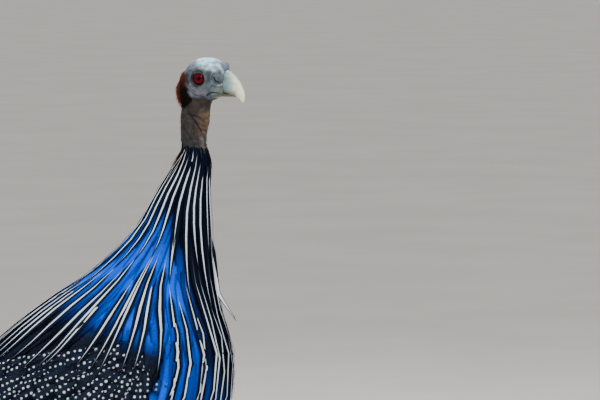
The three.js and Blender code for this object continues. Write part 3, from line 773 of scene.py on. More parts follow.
CERE_PLACE = (17.6, 1.2)
CERE_TALLNESS = 1.15
NOSTRIL_LINE = ((14.6, 1.6), (15.6, -1.4), (18.2, -2.6))
BROW_LINE = ((-7.5, 7.2), (-2, 9.2), (5, 9.6), (11, 8.6), (16.5, 6.2))
GAPE_LINE = ((6.6, -14.6), (8.4, -12.9), (11, -11.6), (18, -12.4), (25, -13.6))
# The painted highlight on the forehead follows this line
FOREHEAD_LINE = ((9.5, 12.6), (16.5, 10.6), (21.5, 6.4))
CHEEK_LINE = ((-12, -5), (-8, -9.2), (-2, -11.6), (4, -12.4))
CHEEK_FOLD = ((-11, -8.5), (-4, -14), (4, -15.2))
JAW_LINE = ((-11, -12), (-5, -16.4), (3, -17.6), (9, -17.2))
MOUTH_CORNER = ((7.4, -16.2), (6.2, -13.6), (7.6, -11.4), (11, -10))
FACE_LINES = (
    # height in millimetres, width, course
    (1.5, 2.1, BROW_LINE),
    (-1.7, 0.62, NOSTRIL_LINE),
    (0.7, 1.1, MOUTH_CORNER),
    (0.8, 2.2, CHEEK_LINE),
    (-0.6, 0.9, CHEEK_FOLD),
    (0.5, 1.5, JAW_LINE),
)
LID_FOLDS = (
    # distance from the eye's middle, height
    (9.3, -0.28),
    (10.4, 0.22),
    (11.5, -0.24),
)
# How far from the eye's middle its lids reach, and how far they and the rim round them stand out
LIDS_END = 10.4
LID_INNER = ((0, 5.7, 6.0, 6.3, 6.6), (-1.3, -1.0, 0.1, 0.8, 1.6))
LID_OUTER = ((6.2, 6.9, 7.5, 8.3, 9.2, 10.4), (0.1, 0.5, 0.3, -0.5, -0.25, 0))


def nape_relief(points):
    """The cushion under the nape's down."""
    return 3.6 * bulge(points, (-20.5, 0, -9.0), (15, 17, 14.5))


def from_cere(points):
    """How far points lie from the middle of the nostril's swelling, seen from the side."""
    return np.hypot(points[..., 0] - CERE_PLACE[0], (points[..., 2] - CERE_PLACE[1]) / CERE_TALLNESS)


def head_relief(points):
    """How far the head's skin stands out from its plain form, in millimetres."""
    x, y, z = points[..., 0], points[..., 1], points[..., 2]
    side = smooth(4.5, 8, np.abs(y))
    out = nape_relief(points)
    for height, width, route in FACE_LINES:
        out += height * side * bell(off_line(points, route), width)
    out -= 1.5 * side * bell(off_line(points, GAPE_LINE), 0.65) * smooth(20, 12, x)
    out += 4.6 * bulge(points, (18.0, 8.6, 11.8), (8, 6.5, 6.5))
    out -= 1.2 * bulge(points, (14.5, 0.0, 16.0), (9, 4.2, 8))
    out -= 1.6 * bulge(points, (-10.2, 12.5, -3.6), (2.2, 6, 2.6))
    cere_away = from_cere(points)
    out += 1.0 * side * (1 - smooth(2.6, 4.8, cere_away))
    out -= 0.6 * side * bell(cere_away - 4.7, 0.6)
    out += 0.5 * side * bell(cere_away - 5.8, 0.7)
    angle = np.arctan2(z - EYE_PLACE[2], x - EYE_PLACE[0])
    away = np.hypot(x - EYE_PLACE[0], z - EYE_PLACE[2])
    for radius, height in LID_FOLDS:
        ring = bell(away - radius - 0.4 * np.sin(3 * angle), 0.42)
        out += height * side * ring * smooth(0.5, -0.6, np.sin(angle))
    ripple = np.sin(x * 2.3 + 1.6 * np.sin(z * 0.9)) * np.sin(z * 2.1 + 1.3 * np.sin(x * 1.1))
    return out + 0.1 * ripple


def with_eyes(points):
    """Points of the head's skin, opened into a lidded socket round each eye."""
    x, y, z = points[..., 0], points[..., 1], points[..., 2]
    across, up = x - EYE_PLACE[0], z - EYE_PLACE[2]
    away = np.hypot(across, up * np.where(up > 0, 1.28, 1.04) + 0.05 * across)
    ball = EYE_OUT + np.sqrt(np.maximum(EYE_RADIUS**2 - across**2 - up**2, 0))
    depth = np.abs(y)
    inner = ball + np.interp(away, *LID_INNER)
    rim = depth + np.interp(away, *LID_OUTER)
    share = smooth(6.15, 6.8, away)
    shaped = inner * (1 - share) + rim * share
    lidded = (away < LIDS_END) & (depth > 6)
    made = points.copy()
    made[..., 1] = np.where(lidded, np.sign(y) * shaped, y)
    return made


def surface_normals(grid):
    around = np.roll(grid, -1, axis=1) - np.roll(grid, 1, axis=1)
    along = np.gradient(grid, axis=0)
    return unit(np.cross(around, along))


def head_tint(points):
    """The bare head's colours at places of its frame, with painted top light: lighter towards the top, with
    painted highlights on the crown and forehead.
    """
    x, z = points[..., 0], points[..., 2]
    side = smooth(4.5, 8, np.abs(points[..., 1]))
    eye_away = np.hypot(x - EYE_PLACE[0], z - EYE_PLACE[2])
    cere_away = from_cere(points)
    # Painted highlight where the top light falls on the crown
    crown_highlight = np.minimum(1.0, 1.4 * bulge(points, (4, 8, 15.5), (12, 14, 6.5)))
    above_lores = np.minimum(1.0, 1.3 * bulge(points, (12.5, 9, 14.2), (6.5, 4, 2.6)))
    lores = np.minimum(1.0, 1.4 * bulge(points, (10.5, 10, 2), (5, 8, 6.5)))
    brow = side * bell(off_line(points, BROW_LINE), 1.3) * smooth(-3, 6, x)
    # Painted highlight along the forehead
    forehead_highlight = side * bell(off_line(points, FOREHEAD_LINE), 1.5)
    cere_rim = side * bell(cere_away - 5.7, 0.55) * (0.25 + 0.75 * smooth(14, 20, x))
    nostril = side * bell(off_line(points, NOSTRIL_LINE), 0.75)
    gape = side * bell(off_line(points, GAPE_LINE), 0.6)
    throat = smooth(-13.5, -17.5, z + 0.12 * np.maximum(x, 0))
    under_nape = smooth(-7, -12, x) * smooth(8, 2, z) * smooth(-30, -24, z)
    layers = (
        # colour, where it shows
        # Painted top light: the head lighter towards its top, then the painted highlights on the crown
        ((0.17, 0.22, 0.29), smooth(6, 12, z) * 0.9),
        ((0.1, 0.14, 0.2), smooth(-5, -12, x) * smooth(1, 8, z) * 0.6),
        ((0.55, 0.86, 1.0), crown_highlight),
        ((0.55, 0.86, 1.0), smooth(14.5, 17.5, z) * smooth(-9, -3, x)),
        ((0.11, 0.16, 0.25), above_lores * 0.9),
        ((0.066, 0.092, 0.084), np.exp(-((eye_away / 11.0) ** 4)) * 0.9),
        ((0.018, 0.026, 0.044), lores * 0.9),
        ((0.16, 0.14, 0.17), bell(off_line(points, CHEEK_LINE), 3.0) * 0.9),
        ((0.5, 0.6, 0.68), brow * 0.85),
        # Painted highlight on the forehead
        ((0.6, 0.86, 1.0), forehead_highlight * 0.8),
        ((0.1, 0.125, 0.14), side * smooth(5.4, 4.2, cere_away) * 0.85),
        ((0.36, 0.45, 0.48), cere_rim * 0.7),
        ((0.01, 0.012, 0.014), nostril * 0.95),
        ((0.17, 0.21, 0.17), smooth(8, 14, x) * smooth(-4, -9, z) * 0.8),
        ((0.02, 0.022, 0.02), gape * 0.85),
        ((0.02, 0.02, 0.024), bell(eye_away - 6.5, 0.7) * 0.8),
        ((0.2, 0.25, 0.25), bell(eye_away - 8.2, 0.6) * 0.25),
        ((0.032, 0.022, 0.017), throat * 0.95),
        ((0.02, 0.014, 0.014), under_nape * 0.9),
    )
    tint = np.broadcast_to(HEAD_TINT, points.shape)
    for colour, share in layers:
        tint = blended(tint, colour, share)
    return tint


NECK_FOLDS = (
    # depth in millimetres, which also sets how much painted shade lies in the fold, then the fold's course in
    # stations and degrees
    (0.8, ((0.8, 50), (1.6, 128), (1.85, 146))),
    (0.6, ((0.78, 66), (0.82, 122))),
    (0.5, ((1.0, 60), (1.08, 100), (1.3, 150))),
    (0.45, ((1.42, 118), (1.46, 180))),
    (0.45, ((1.55, 112), (1.6, 180))),
    (0.4, ((1.15, 120), (1.12, 180))),
    (0.35, ((1.28, 20), (1.9, 80), (2.3, 100))),
    (0.35, ((2.0, 104), (2.1, 180))),
    (0.3, ((1.7, 10), (2.5, 52))),
    (0.3, ((2.5, 100), (2.45, 180))),
)


def neck_folds(t, degrees):
    """The depth of the bare neck's folds at places of it, which also sets the painted shade in them."""
    depth = np.zeros(np.broadcast(t, degrees).shape)
    place = np.stack(np.broadcast_arrays(t * 20.0, np.abs(degrees) * 0.2), axis=-1)
    for deep, route in NECK_FOLDS:
        stops = np.array(route) * (20.0, 0.2)
        nearest = np.full(depth.shape, 1e9)
        for a, b in zip(stops[:-1], stops[1:]):
            share = np.clip(((place - a) @ (b - a)) / ((b - a) @ (b - a)), 0, 1)
            nearest = np.minimum(nearest, np.linalg.norm(place - a - share[..., None] * (b - a), axis=-1))
        depth = np.maximum(depth, deep * np.exp(-((nearest / 0.75) ** 2)))
    return depth


def neck_tint(t, degrees):
    """The bare neck's colours, with painted shade in its folds, and below it the dark or blue that shows
    between the feathers.
    """
    turned = np.abs(degrees)
    upper = smooth(2.1, 1.5, t)
    grey = np.array((0.027, 0.028, 0.031)) + np.array((0.008, 0.002, -0.005)) * upper[..., None]
    bare = blended(grey, (0.14, 0.088, 0.06), smooth(90, 134, turned) * upper)
    # Painted shade: the bare neck darker in its folds, by their depth
    bare = bare * (1 - neck_folds(t, degrees)[..., None])
    pale = smooth(1.6, 1.95, t) * smooth(2.7, 2.3, t) * bell(turned - 142, 13)
    bare = blended(bare, (0.2, 0.17, 0.165), 0.7 * pale)
    hidden = blended(np.array(BODY_TINT), HIDDEN_BLUE, smooth(4.4, 5.6, t) * (1 - smooth(7, 8, t)))
    return blended(bare, hidden, smooth(2.6, 3.2, t))


def neck_relief(t, degrees):
    """Rings and slanting folds of the bare neck's skin."""
    front = smooth(60, 110, np.abs(degrees))
    bare = smooth(3.4, 2.8, t) * smooth(0.6, 1.2, t)
    rings = np.sin(t * 21 + 1.4 * np.sin(np.radians(degrees * 2)) + 0.6 * np.sin(t * 7))
    slanting = np.sin(t * 12 + np.radians(np.abs(degrees)) * 3.4)
    fine = 0.2 * rings * (0.35 + 0.65 * front) + 0.18 * slanting * (1 - 0.5 * front)
    return bare * fine - smooth(3.2, 2.8, t) * neck_folds(t, degrees)


def trunk_and_head_skin():
    """The skin from the tail's root up the neck and over the head: its points, and the tint of each."""
    degrees = np.arange(SKIN_AROUND) / SKIN_AROUND * 360 - 180
    body_rings = np.concatenate([np.linspace(TAIL_ROOT, 3.3, 70), np.linspace(3.24, 1.02, 84)])
    t, around = np.meshgrid(body_rings, degrees, indexing="ij")
    body = trunk_point(t, around, -skin_depth(t) + neck_relief(t, around))
    head_rings = [np.linspace(0, 4.3, 62)[1:], np.linspace(4.35, 9.2, 78), np.linspace(9.25, 13, 44)]
    t_head, around_head = np.meshgrid(np.concatenate(head_rings), degrees, indexing="ij")
    plain = ring_point(SKULL, t_head, around_head)
    normals = surface_normals(plain)
    centre = plain.mean(axis=1, keepdims=True)
    outward = np.sign(np.sum(normals * (plain - centre), axis=(1, 2), keepdims=True))
    fade = smooth(0, 1.2, t_head)[..., None]
    shaped = with_eyes(plain + normals * outward * (head_relief(plain)[..., None] * fade))
    turned = spline(SKULL, t_head)[..., 5]
    head = in_head_frame(shaped, turned)
    tint = neck_tint(np.full_like(t_head, 1.0), around_head) * (1 - fade) + head_tint(plain) * fade
    return np.concatenate([body, head]), np.concatenate([neck_tint(t, around), tint])


def leg_relief(share, degrees):
    """Overlapping plates down the front of the shank, and small ones behind."""
    down = smooth(0.5, 0.56, share)
    plate = (share * 34) % 1
    front = np.maximum(0, -np.sin(np.radians(degrees))) ** 0.5
    scutes = 0.55 * smooth(0, 0.8, plate) * (1 - smooth(0.9, 1, plate)) * front
    small = np.sin(share * 300) * np.sin(np.radians(degrees) * 9) * 0.12 * (1 - front)
    return down * (scutes + small)


def toe_route(foot, side, toe):
    _, turn, length, _, _, claw = toe
    c, s = math.cos(math.radians(turn)), math.sin(math.radians(turn)) * side
    stops = ((3, 1.6), (length * 0.5, 0.2), (length, 0), (length + 0.3, 0), (length + claw, 0))
    return np.array([(foot[0] + c * far, foot[1] + s * far, TOE_HEIGHT + lift) for far, lift in stops])


def hind_route(foot, side):
    stops = ((-3, 14), (-12, 9.5), (-18, 6.5), (-18.3, 6.3), (-26, 1.2))
    return np.array([(foot[0] + x, foot[1] - side * 2 + side * 0.2 * x, z) for x, z in stops])


def limb_tube(route, radii, along, around, relief=None, reference=(0, 1, 0)):
    share, degrees = round_grid(np.linspace(0, 1, along), around)
    out = relief(share, degrees) if relief else 0.0
    return tube(limb_point(route, radii, share, degrees, out, reference))


def toe_tube(route, radius, joints):
    def relief(share, degrees):
        plate = (share * joints * 4) % 1
        top = np.maximum(0, np.cos(np.radians(degrees)))
        pads = 0.1 * radius * np.cos(2 * np.pi * joints * share)
        return pads + 0.35 * smooth(0, 0.8, plate) * (1 - smooth(0.9, 1, plate)) * top

    radii = np.array([radius + 0.4, radius - 0.2, radius - 1])
    return limb_tube(route[:3], radii, 12 * joints + 1, 18, relief, (0, 0, 1))


def on_floor(points):
    """The points, with none under the floor."""
    return np.maximum(points, (-np.inf, -np.inf, 0.0))


def temporary(name, points, faces):
    mesh = bpy.data.meshes.new(name)
    mesh.from_pydata(((points + OFFSET) * MM).tolist(), [], faces)
    made = bpy.data.objects.new(name, mesh)
    bpy.context.collection.objects.link(made)
    return made


def alone(chosen):
    """Leaves one object selected and active."""
    bpy.ops.object.select_all(action="DESELECT")
    chosen.select_set(True)
    bpy.context.view_layer.objects.active = chosen


def union(base, others):
    """Joins closed objects into the first."""
    for other in others:
        change = base.modifiers.new("union", "BOOLEAN")
        change.operation = "UNION"
        change.solver = "MANIFOLD"
        change.object = other
        alone(base)
        bpy.ops.object.modifier_apply(modifier=change.name)
        bpy.data.objects.remove(other)


def foot_pad(foot):
    """The pad under the root of the toes."""
    down, degrees = round_grid(np.linspace(0.02, np.pi - 0.02, 14), 28)
    turn = np.radians(degrees)
    return tube(np.stack([
        foot[0] + 2 + 8.5 * np.sin(down) * np.cos(turn),
        foot[1] + 7.5 * np.sin(down) * np.sin(turn),
        5 + 6 * np.cos(down),
    ], axis=-1))


def leg_parts(name, side):
    """The closed forms that one leg and its foot are joined from."""
    route = leg_route(side, name)
    foot = route[-1]
    parts = [limb_tube(route, LEG_RADII, 230, 36, leg_relief), foot_pad(foot)]
    for toe in TOES:
        _, _, _, radius, joints, _ = toe
        parts.append(toe_tube(toe_route(foot, side, toe), radius, joints))
    parts.append(toe_tube(hind_route(foot, side), HIND_TOE_RADIUS, 1))
    return [(on_floor(points), faces) for points, faces in parts]


def tail_stub():
    """The flesh that the tail feathers grow from."""
    share, degrees = round_grid(np.linspace(0, 1, 16), 32)
    turn = np.radians(degrees)
    wide = spline([9, 13, 15, 13, 6], share * 4)
    thick = spline([6, 8, 7, 4.5, 2], share * 4)
    grid = np.stack([-16 + 60 * share, np.sin(turn) * wide, np.cos(turn) * thick - 2], axis=-1)
    return tube(in_tail_frame(grid))


def limb_tint(points):
    """Grey scales on the lower legs, and the body's dark tint above them."""
    return blended(np.broadcast_to(BODY_TINT, points.shape), LEG_TINT, smooth(150, 128, points[:, 2]))


def paint_from(skin, sources, colours):
    """Gives each point of the joined skin the tint of the nearest point that it was joined from."""
    tree = KDTree(len(sources))
    for i, place in enumerate(((sources + OFFSET) * MM).tolist()):
        tree.insert(place, i)
    tree.balance()
    nearest = [tree.find(vertex.co)[1] for vertex in skin.data.vertices]
    layer = skin.data.color_attributes.new(name="tint", type="FLOAT_COLOR", domain="POINT")
    layer.data.foreach_set("color", opaque(colours[nearest]).astype(np.float32).ravel())


def make_skin():
    grid, tints = trunk_and_head_skin()
    points, faces = tube(grid)
    parts = [part for name, side in SIDES for part in leg_parts(name, side)] + [tail_stub()]
    others = [temporary("part", *part) for part in parts]
    sources = [points] + [part_points for part_points, _ in parts]
    colours = [tints.reshape(-1, 3)] + [limb_tint(part_points) for part_points, _ in parts]

    skin = make_piece("skin", points, faces, material("skin"))
    union(skin, others)
    paint_from(skin, np.concatenate(sources), np.concatenate(colours))
    skin.data.polygons.foreach_set("use_smooth", np.ones(len(skin.data.polygons), dtype=bool))
    flesh = ["head", "neck_upper", "torso"]
    for name, _ in SIDES:
        flesh += [f"thigh_{name}", f"shank_{name}", f"toe_{name}_hind"]
        flesh += [f"toe_{name}_{toe[0]}" for toe in TOES]
    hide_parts(*flesh)


# Bill, eyes and claws


BILL_TINT = (0.2, 0.355, 0.355)
BILL_HALVES = (
    # name, stations, how flat its sides are, light (under 1 it is painted shade, as on the lower half)
    ("bill_upper", BILL_UPPER, 0.82, 1.0),
    ("bill_lower", BILL_LOWER, 0.9, 0.45),
)


def bill_grid(stations, along, around, sharp):
    """A bill half as rings of points, its sides flatter the greater sharp is."""
    t, degrees = round_grid(np.linspace(0, len(stations) - 1, along), around)
    degrees = degrees - 180
    grid = ring_point(stations, t, degrees)
    values = spline(stations, t)
    half = np.maximum(values[..., 4], 1e-6)
    edge = np.abs(np.sin(np.radians(degrees))) ** sharp
    grid[..., 1] = np.sign(grid[..., 1]) * half * edge
    return grid


def bill_tint(points):
    """Grey-green at the root, paler along the ridge and horn-coloured at the tip and the cutting edge."""
    x, z = points[..., 0], points[..., 2]
    ridge = smooth(4.6, 0.8, np.abs(points[..., 1])) * smooth(14, 24, x)
    layers = (
        # colour, where it shows
        ((0.12, 0.18, 0.2), smooth(29, 19, x) * 0.9),
        ((0.72, 0.84, 0.8), ridge * 0.7),
        ((1.0, 0.93, 0.68), smooth(24, 38, x)),
        ((0.24, 0.2, 0.1), smooth(-8.5, -13, z) * smooth(35, 28, x) * 0.8),
    )
    tint = np.broadcast_to(BILL_TINT, points.shape)
    for colour, share in layers:
        tint = blended(tint, colour, share)
    return tint


def make_bill():
    for name, stations, sharp, light in BILL_HALVES:
        grid = bill_grid(stations, 70, 56, sharp)
        points, faces = tube(in_head_frame(grid))
        # Painted shade: the lower half's colours darkened by its light
        tints = {"tint": opaque(bill_tint(grid) * light)}
        piece = make_piece(name + "_horn", points, faces, material("horn"), attributes=tints)
        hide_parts(name)


def make_eyes():
    for name, side in SIDES:
        place = in_head_frame(np.array([EYE_PLACE[0], side * EYE_OUT, EYE_PLACE[2]])) + OFFSET
        gaze = in_head_frame(np.array([GAZE_FORWARD, side, GAZE_UP])) - HEAD_PLACE
        turn = Vector(gaze).to_track_quat("Z", "Y").to_euler()
        bpy.ops.object.select_all(action="DESELECT")
        bpy.ops.mesh.primitive_uv_sphere_add(
            segments=48,
            ring_count=40,
            radius=EYE_RADIUS * MM,
            location=place * MM,
            rotation=turn,
        )
        eye = bpy.context.object
        eye.name = f"eyeball_{name}"
        bpy.ops.object.transform_apply()
        bpy.ops.object.shade_smooth()
        eye.data.materials.append(material("eye"))
        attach(eye, "root")
        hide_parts(f"eye_{name}")


CLAW_RADII = (2.2, 1.7, 0.35)
CLAW_TIP_HEIGHT = 0.9


def claw_tube(base, tip, lift):
    middle = (base + tip) / 2 + np.array([0, 0, lift])
    route = np.array([base, middle, tip])
    points, faces = limb_tube(route, np.array(CLAW_RADII), 16, 16, None, (0, 0, 1))
    return on_floor(points), faces


def make_claws():
    parts, nodes = [], []
    for name, side in SIDES:
        foot = leg_route(side, name)[-1]
        for toe in TOES:
            _, _, toe_end, root, tip = toe_route(foot, side, toe)
            parts.append(claw_tube(root - (root - toe_end) * 4, np.array([*tip[:2], CLAW_TIP_HEIGHT]), 1.2))
            nodes.append(f"claw_{name}_{toe[0]}")
        *_, root, tip = hind_route(foot, side)
        parts.append(claw_tube(root, tip, 0.8))
        nodes.append(f"claw_{name}_hind")
    points, faces = joined(parts)
    claws = make_piece("claws", points, faces, material("claw"))
    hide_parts(*nodes)


# Coats

LANES = 24
LOW_LANES = 38
# The striped hackles: where the lanes' first ones are rooted, and their lengths and overlaps, in stations
FIRST_ROOTS = (2.3, 3.0)
LOW_ROOTS = (3.5, 5.0)
RUN_LENGTHS = (2.8, 4.6)
OVERLAPS = (1.4, 1.9)
LEAST_LAST_RUN = 1.5
# Stations of the cape's striped hackles, then their half widths and their stripes' there
WIDTH_DOWN = ((2.8, 4, 5, 6, 8), (1.8, 3.3, 4.7, 5.7, 5.5))
STRIPE_DOWN = ((2.8, 4, 5, 6.5, 7.3, 8.2), (0.34, 0.56, 0.78, 0.88, 0.74, 0.4))
# How far from the back the lanes crowd together and need no low lanes between them
CROWDED = 148
UNDER_TIERS = (
    # root and tip in stations, count round the neck, half width
    (2.4, 3.4, 22, 1.0),
    (2.6, 3.7, 24, 1.4),
    (2.8, 4.1, 22, 2.0),
    (3.0, 4.9, 16, 3.8),
    (3.3, 5.7, 14, 5.6),
    (3.7, 6.6, 14, 7.4),
    (4.1, 7.25, 16, 9.0),
    (4.5, 7.7, 18, 10.2),
    (4.95, 8.0, 20, 10.8),
    (5.4, 8.2, 22, 10.8),
    (5.85, 8.35, 24, 10.2),
    (6.3, 8.45, 27, 8.6),
    (6.7, 8.6, 30, 7.4),
)
# The cape's lower edge and where its blue starts and ends, by how far round from the back, in stations
HEM = ((0, 8.7), (34, 8.6), (56, 8.35), (74, 8.1), (91, 7.85), (113, 7.68), (121, 8.75), (180, 8.95))
BLUE_FROM = ((29, 4.25), (69, 4.4), (96, 4.75), (115, 5.2), (127, 6.0), (138, 6.6), (152, 7.3), (180, 7.5))
BLUE_TO = ((20, 6.8), (34, 6.9), (56, 7.1), (110, 7.2), (117, 9.5))
# How far the lanes of hackles turn to the front on their way down, by their angle from the back at the neck
LANE_DRIFT = ((0, 0), (55, -4), (75, 8), (90, 32), (110, 38), (150, 14), (180, 0))
WING_TIERS = (
    # primaries, secondaries, greater and median coverts and tertials: count, shape, half width, rise,
    # roots of the first and the last, tips of the first and the last, lilac, spots
    (8, QUILL_SHAPE, 8.0, 2.6, (0.4, 0.2), (0.5, 0.36), (0.74, 0.03), (1.0, 0.48), 0.1, 0.5),
    (13, QUILL_SHAPE, 8.4, 3.6, (0.2, 0.26), (0.5, 0.62), (0.5, 0.0), (0.95, 0.62), 1.0, 0.6),
    (13, BODY_SHAPE, 7.6, 4.6, (0.12, 0.34), (0.4, 0.74), (0.36, 0.15), (0.7, 0.74), 0.25, 1.0),
    (12, BODY_SHAPE, 7.2, 5.2, (0.06, 0.42), (0.27, 0.8), (0.25, 0.25), (0.52, 0.8), 0.0, 1.0),
    (5, QUILL_SHAPE, 8.6, 6.2, (0.14, 0.78), (0.32, 0.97), (0.6, 0.72), (0.86, 0.95), 0.15, 1.0),
)
PLATE_THICK = 2.4
# The first and last row of the thighs' feathers in shares of the leg, how many, and the gap in a row
THIGH_ROWS = (-0.01, 0.43, 22)
THIGH_GAP = 5.2
FINE_BRISTLES = 520
PALE_BRISTLES = 9
RECTRICES = (
    # length, half width
    (250, 11.0),
    (206, 12.0),
    (196, 12.5),
    (186, 12.5),
    (173, 12.5),
    (160, 12.0),
    (142, 11.5),
)
TAIL_COVERTS = (
    # count, length, half width, root, root's height, tip's height, fan
    (16, 92, 8.5, 2, 4.6, 3.6, 26),
    (15, 70, 8.0, -8, 6.6, 8.4, 30),
    (12, 52, 7.5, -20, 7.8, 11.0, 34),
    (13, 84, 9.0, -2, -8.5, -15.0, 22),
    (12, 62, 8.5, -12, -9.5, -17.5, 26),
)


def plate_top(u, v):
    """How high the folded wing's flesh stands over the body's outline."""
    along = np.clip(u / 0.7, 0, 1)
    up = np.clip((v - 0.14) / 0.86, 0, 1)
    full = np.minimum(1, 0.25 + 2 * np.sin(np.pi * along))
    return 0.6 + PLATE_THICK * (1 - np.abs(2 * up - 1) ** 3) * full


def over_wing(t, degrees):
    """How high a feather must lie over the outline to pass over the wing's bend."""
    u = along_wing(t)
    low, high = wing_angles(np.maximum(u, 0))
    v = (degrees - low) / (high - low)
    near = smooth(-0.25, 0.02, u) * smooth(-0.6, 0, v) * (1 - smooth(1, 1.6, v))
    return near * (plate_top(np.maximum(u, 0), v) + 3.2)


def round_the_cape(table, turned):
    """A value of the cape, given for some angles from the back, at others."""
    angles, values = zip(*table)
    return np.interp(turned, angles, values)


def lane_angle(start, t):
    """How far from the back a lane of hackles is at t, when it starts so far from it at the neck."""
    reached = np.interp(start, (80, 115), (8.4, 6.8))
    return start + round_the_cape(LANE_DRIFT, start) * smooth(3.9, reached, t)


def lane_through(angle, t):
    """Where the lane starts that reaches an angle at t."""
    starts = np.linspace(0, 180, 361)
    return np.interp(angle, lane_angle(starts, t), starts)


def hackle_colours(t, turned):
    """How blue a hackle is at places of the cape, from 0 to 1."""
    first = round_the_cape(BLUE_FROM, turned)
    last = round_the_cape(BLUE_TO, turned)
    front = 1 - 0.75 * smooth(128, 146, turned)
    return front * smooth(-0.15, 0.6, t - first) * (1 - smooth(-0.25, 0.15, t - last))


def slate_share(t, turned):
    """How much a hackle has of the mantle's fine grey marks."""
    return 0.9 * smooth(-0.5, 0.1, t - round_the_cape(BLUE_TO, turned))


def lay_hackles(coat, rng, roots, tips, angles, depth, widths, stripe, light, lift=0.0, roll=0.0):
    """Grows hackles from their roots to their tips, each in the lane that starts at its angle."""
    count = len(roots)
    shares = np.array(HACKLE_SHAPE[0])[None, :]
    turned = np.abs(angles)
    side = np.where(angles < 0, -1.0, 1.0)[:, None]
    t = roots[:, None] + (tips - roots)[:, None] * shares
    bend = rng.normal(0, 0.6, count)[:, None] * np.sin(np.pi * shares)
    here = lane_angle(np.clip(turned[:, None] + bend, 0, 180), t)
    start = -skin_depth(roots)[:, None] - 0.3
    end = depth[:, None] - 0.8 + smooth(96, 120, here) * smooth(6, 8, t)
    free = start + (end - start) * np.minimum(shares / 0.35, 1.0) ** 0.8
    on_skin = 0.9 + 0.3 * depth[:, None] - skin_depth(t)
    free = np.where(shares > 0.05, np.maximum(free, on_skin), free)
    free = free + 0.8 * smooth(0.3, 0.75, shares) + 0.9 * shares + lift * smooth(0.72, 1, shares)
    over = over_wing(t, here)
    out = free + np.maximum(0, over + depth[:, None] - free) * smooth(0.2, 0.6, shares) * smooth(0, 0.5, over)
    degrees = side * here
    tone = np.zeros((count, shares.shape[1], 4))
    tone[..., 0] = hackle_colours(t, here)
    first = np.where(roots < 3.2, 0.05, 0.3)[:, None]
    tone[..., 2] = stripe[:, None] * smooth(first, first + 0.4, shares)
    tone[..., 3] = slate_share(t, here)
    shade = columns(count, 0, light, 0, rng.random(count))
    coat.grow(
        trunk_point(t, degrees, out),
        trunk_up(t, degrees),
        widths,
        HACKLE_SHAPE,
        trunk_unwrap(roots, side[:, 0] * lane_angle(turned, roots)),
        tone,
        shade,
        FINE_ACROSS,
        roll=np.radians(rng.normal(0, 2, count) + roll),
        cup=0.1,
    )


def striped_runs(rng, lanes, low_lanes):
    """The striped hackles' roots, tips and angles: lanes round the neck, in which one hackle follows another.
    The low lanes between them start where the cape has widened."""
    starts = [(lane * 360 / lanes - 180, rng.uniform(*FIRST_ROOTS)) for lane in range(lanes)]
    for lane in range(low_lanes):
        reached = (lane + 0.5) * 360 / low_lanes - 180
        if abs(reached) > CROWDED:
            continue
        first = rng.uniform(*LOW_ROOTS) - 0.4 * smooth(120, 140, abs(reached))
        starts.append((math.copysign(lane_through(abs(reached), 7), reached), first))
    runs = []
    for middle, start in starts:
        middle += rng.uniform(-1.5, 1.5)
        aside = rng.choice((-1.0, 1.0)) * rng.uniform(0.0, 0.4)
        last = False
        while not last:
            angle = middle + aside
            hem = round_the_cape(HEM, lane_angle(abs(angle), 8)) + rng.uniform(-0.14, 0.06)
            tip = start + rng.uniform(*RUN_LENGTHS) * (0.85 if start < 3.4 else 1.0)
            last = tip > hem - LEAST_LAST_RUN
            tip = hem if last else tip
            runs.append((start, tip, angle))
            start = tip - rng.uniform(*OVERLAPS)
            aside = -aside * rng.uniform(0.7, 1.3)
    return np.array(runs).T


def make_cape(rng, lane_share):
    coat = Coat()
    first_tip, last_tip = UNDER_TIERS[0][1], UNDER_TIERS[-1][1]
    for k, (root, tip, count, half) in enumerate(UNDER_TIERS):
        reached = (np.arange(count) + 0.5 * (k % 2) + rng.uniform(-0.22, 0.22, count)) / count * 360 - 180
        angles = np.copysign(lane_through(np.abs(reached), root * 0.4 + tip * 0.6), reached)
        reach = (tip - first_tip) / (last_tip - first_tip)
        hem = round_the_cape(HEM, np.abs(reached)) - last_tip
        tips = tip + hem * reach**2 + rng.uniform(-0.15, 0.05, count) * (0.4 + reach)
        roots = root + rng.uniform(-0.1, 0.1, count)
        depth = rng.uniform(-2.4, -2.0, count)
        widths = half * rng.uniform(0.98, 1.16, count)
        light = rng.uniform(0.3, 0.54, count)
        lay_hackles(coat, rng, roots, tips, angles, depth, widths, np.zeros(count), light)
    roots, tips, angles = striped_runs(rng, int(LANES * lane_share), int(LOW_LANES * lane_share))
    count = len(roots)
    middle = (roots + tips) / 2
    widths = np.interp(middle, *WIDTH_DOWN) * rng.uniform(0.9, 1.15, count)
    widths = widths * np.interp(lane_angle(np.abs(angles), middle), (128, 152), (1.0, 0.5))
    stripe = np.interp(middle, *STRIPE_DOWN) * rng.uniform(0.82, 1.1, count)
    depth = rng.uniform(-0.3, 0.2, count)
    lay_hackles(coat, rng, roots, tips, angles, depth, widths, stripe, rng.uniform(0.44, 0.52, count))
    # The one white tip that stands off the front of the cape: root, tip, angle, depth, width, stripe, light
    lifted = (np.array([value]) for value in (4.3, 6.25, -168.0, 0.0, 3.4, 1.6, 0.5))
    lay_hackles(coat, rng, *lifted, lift=12.0, roll=60.0)
    cape = coat.piece("hackles", material("plumage"), "blue_plumage")
    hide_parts("neck_lower")


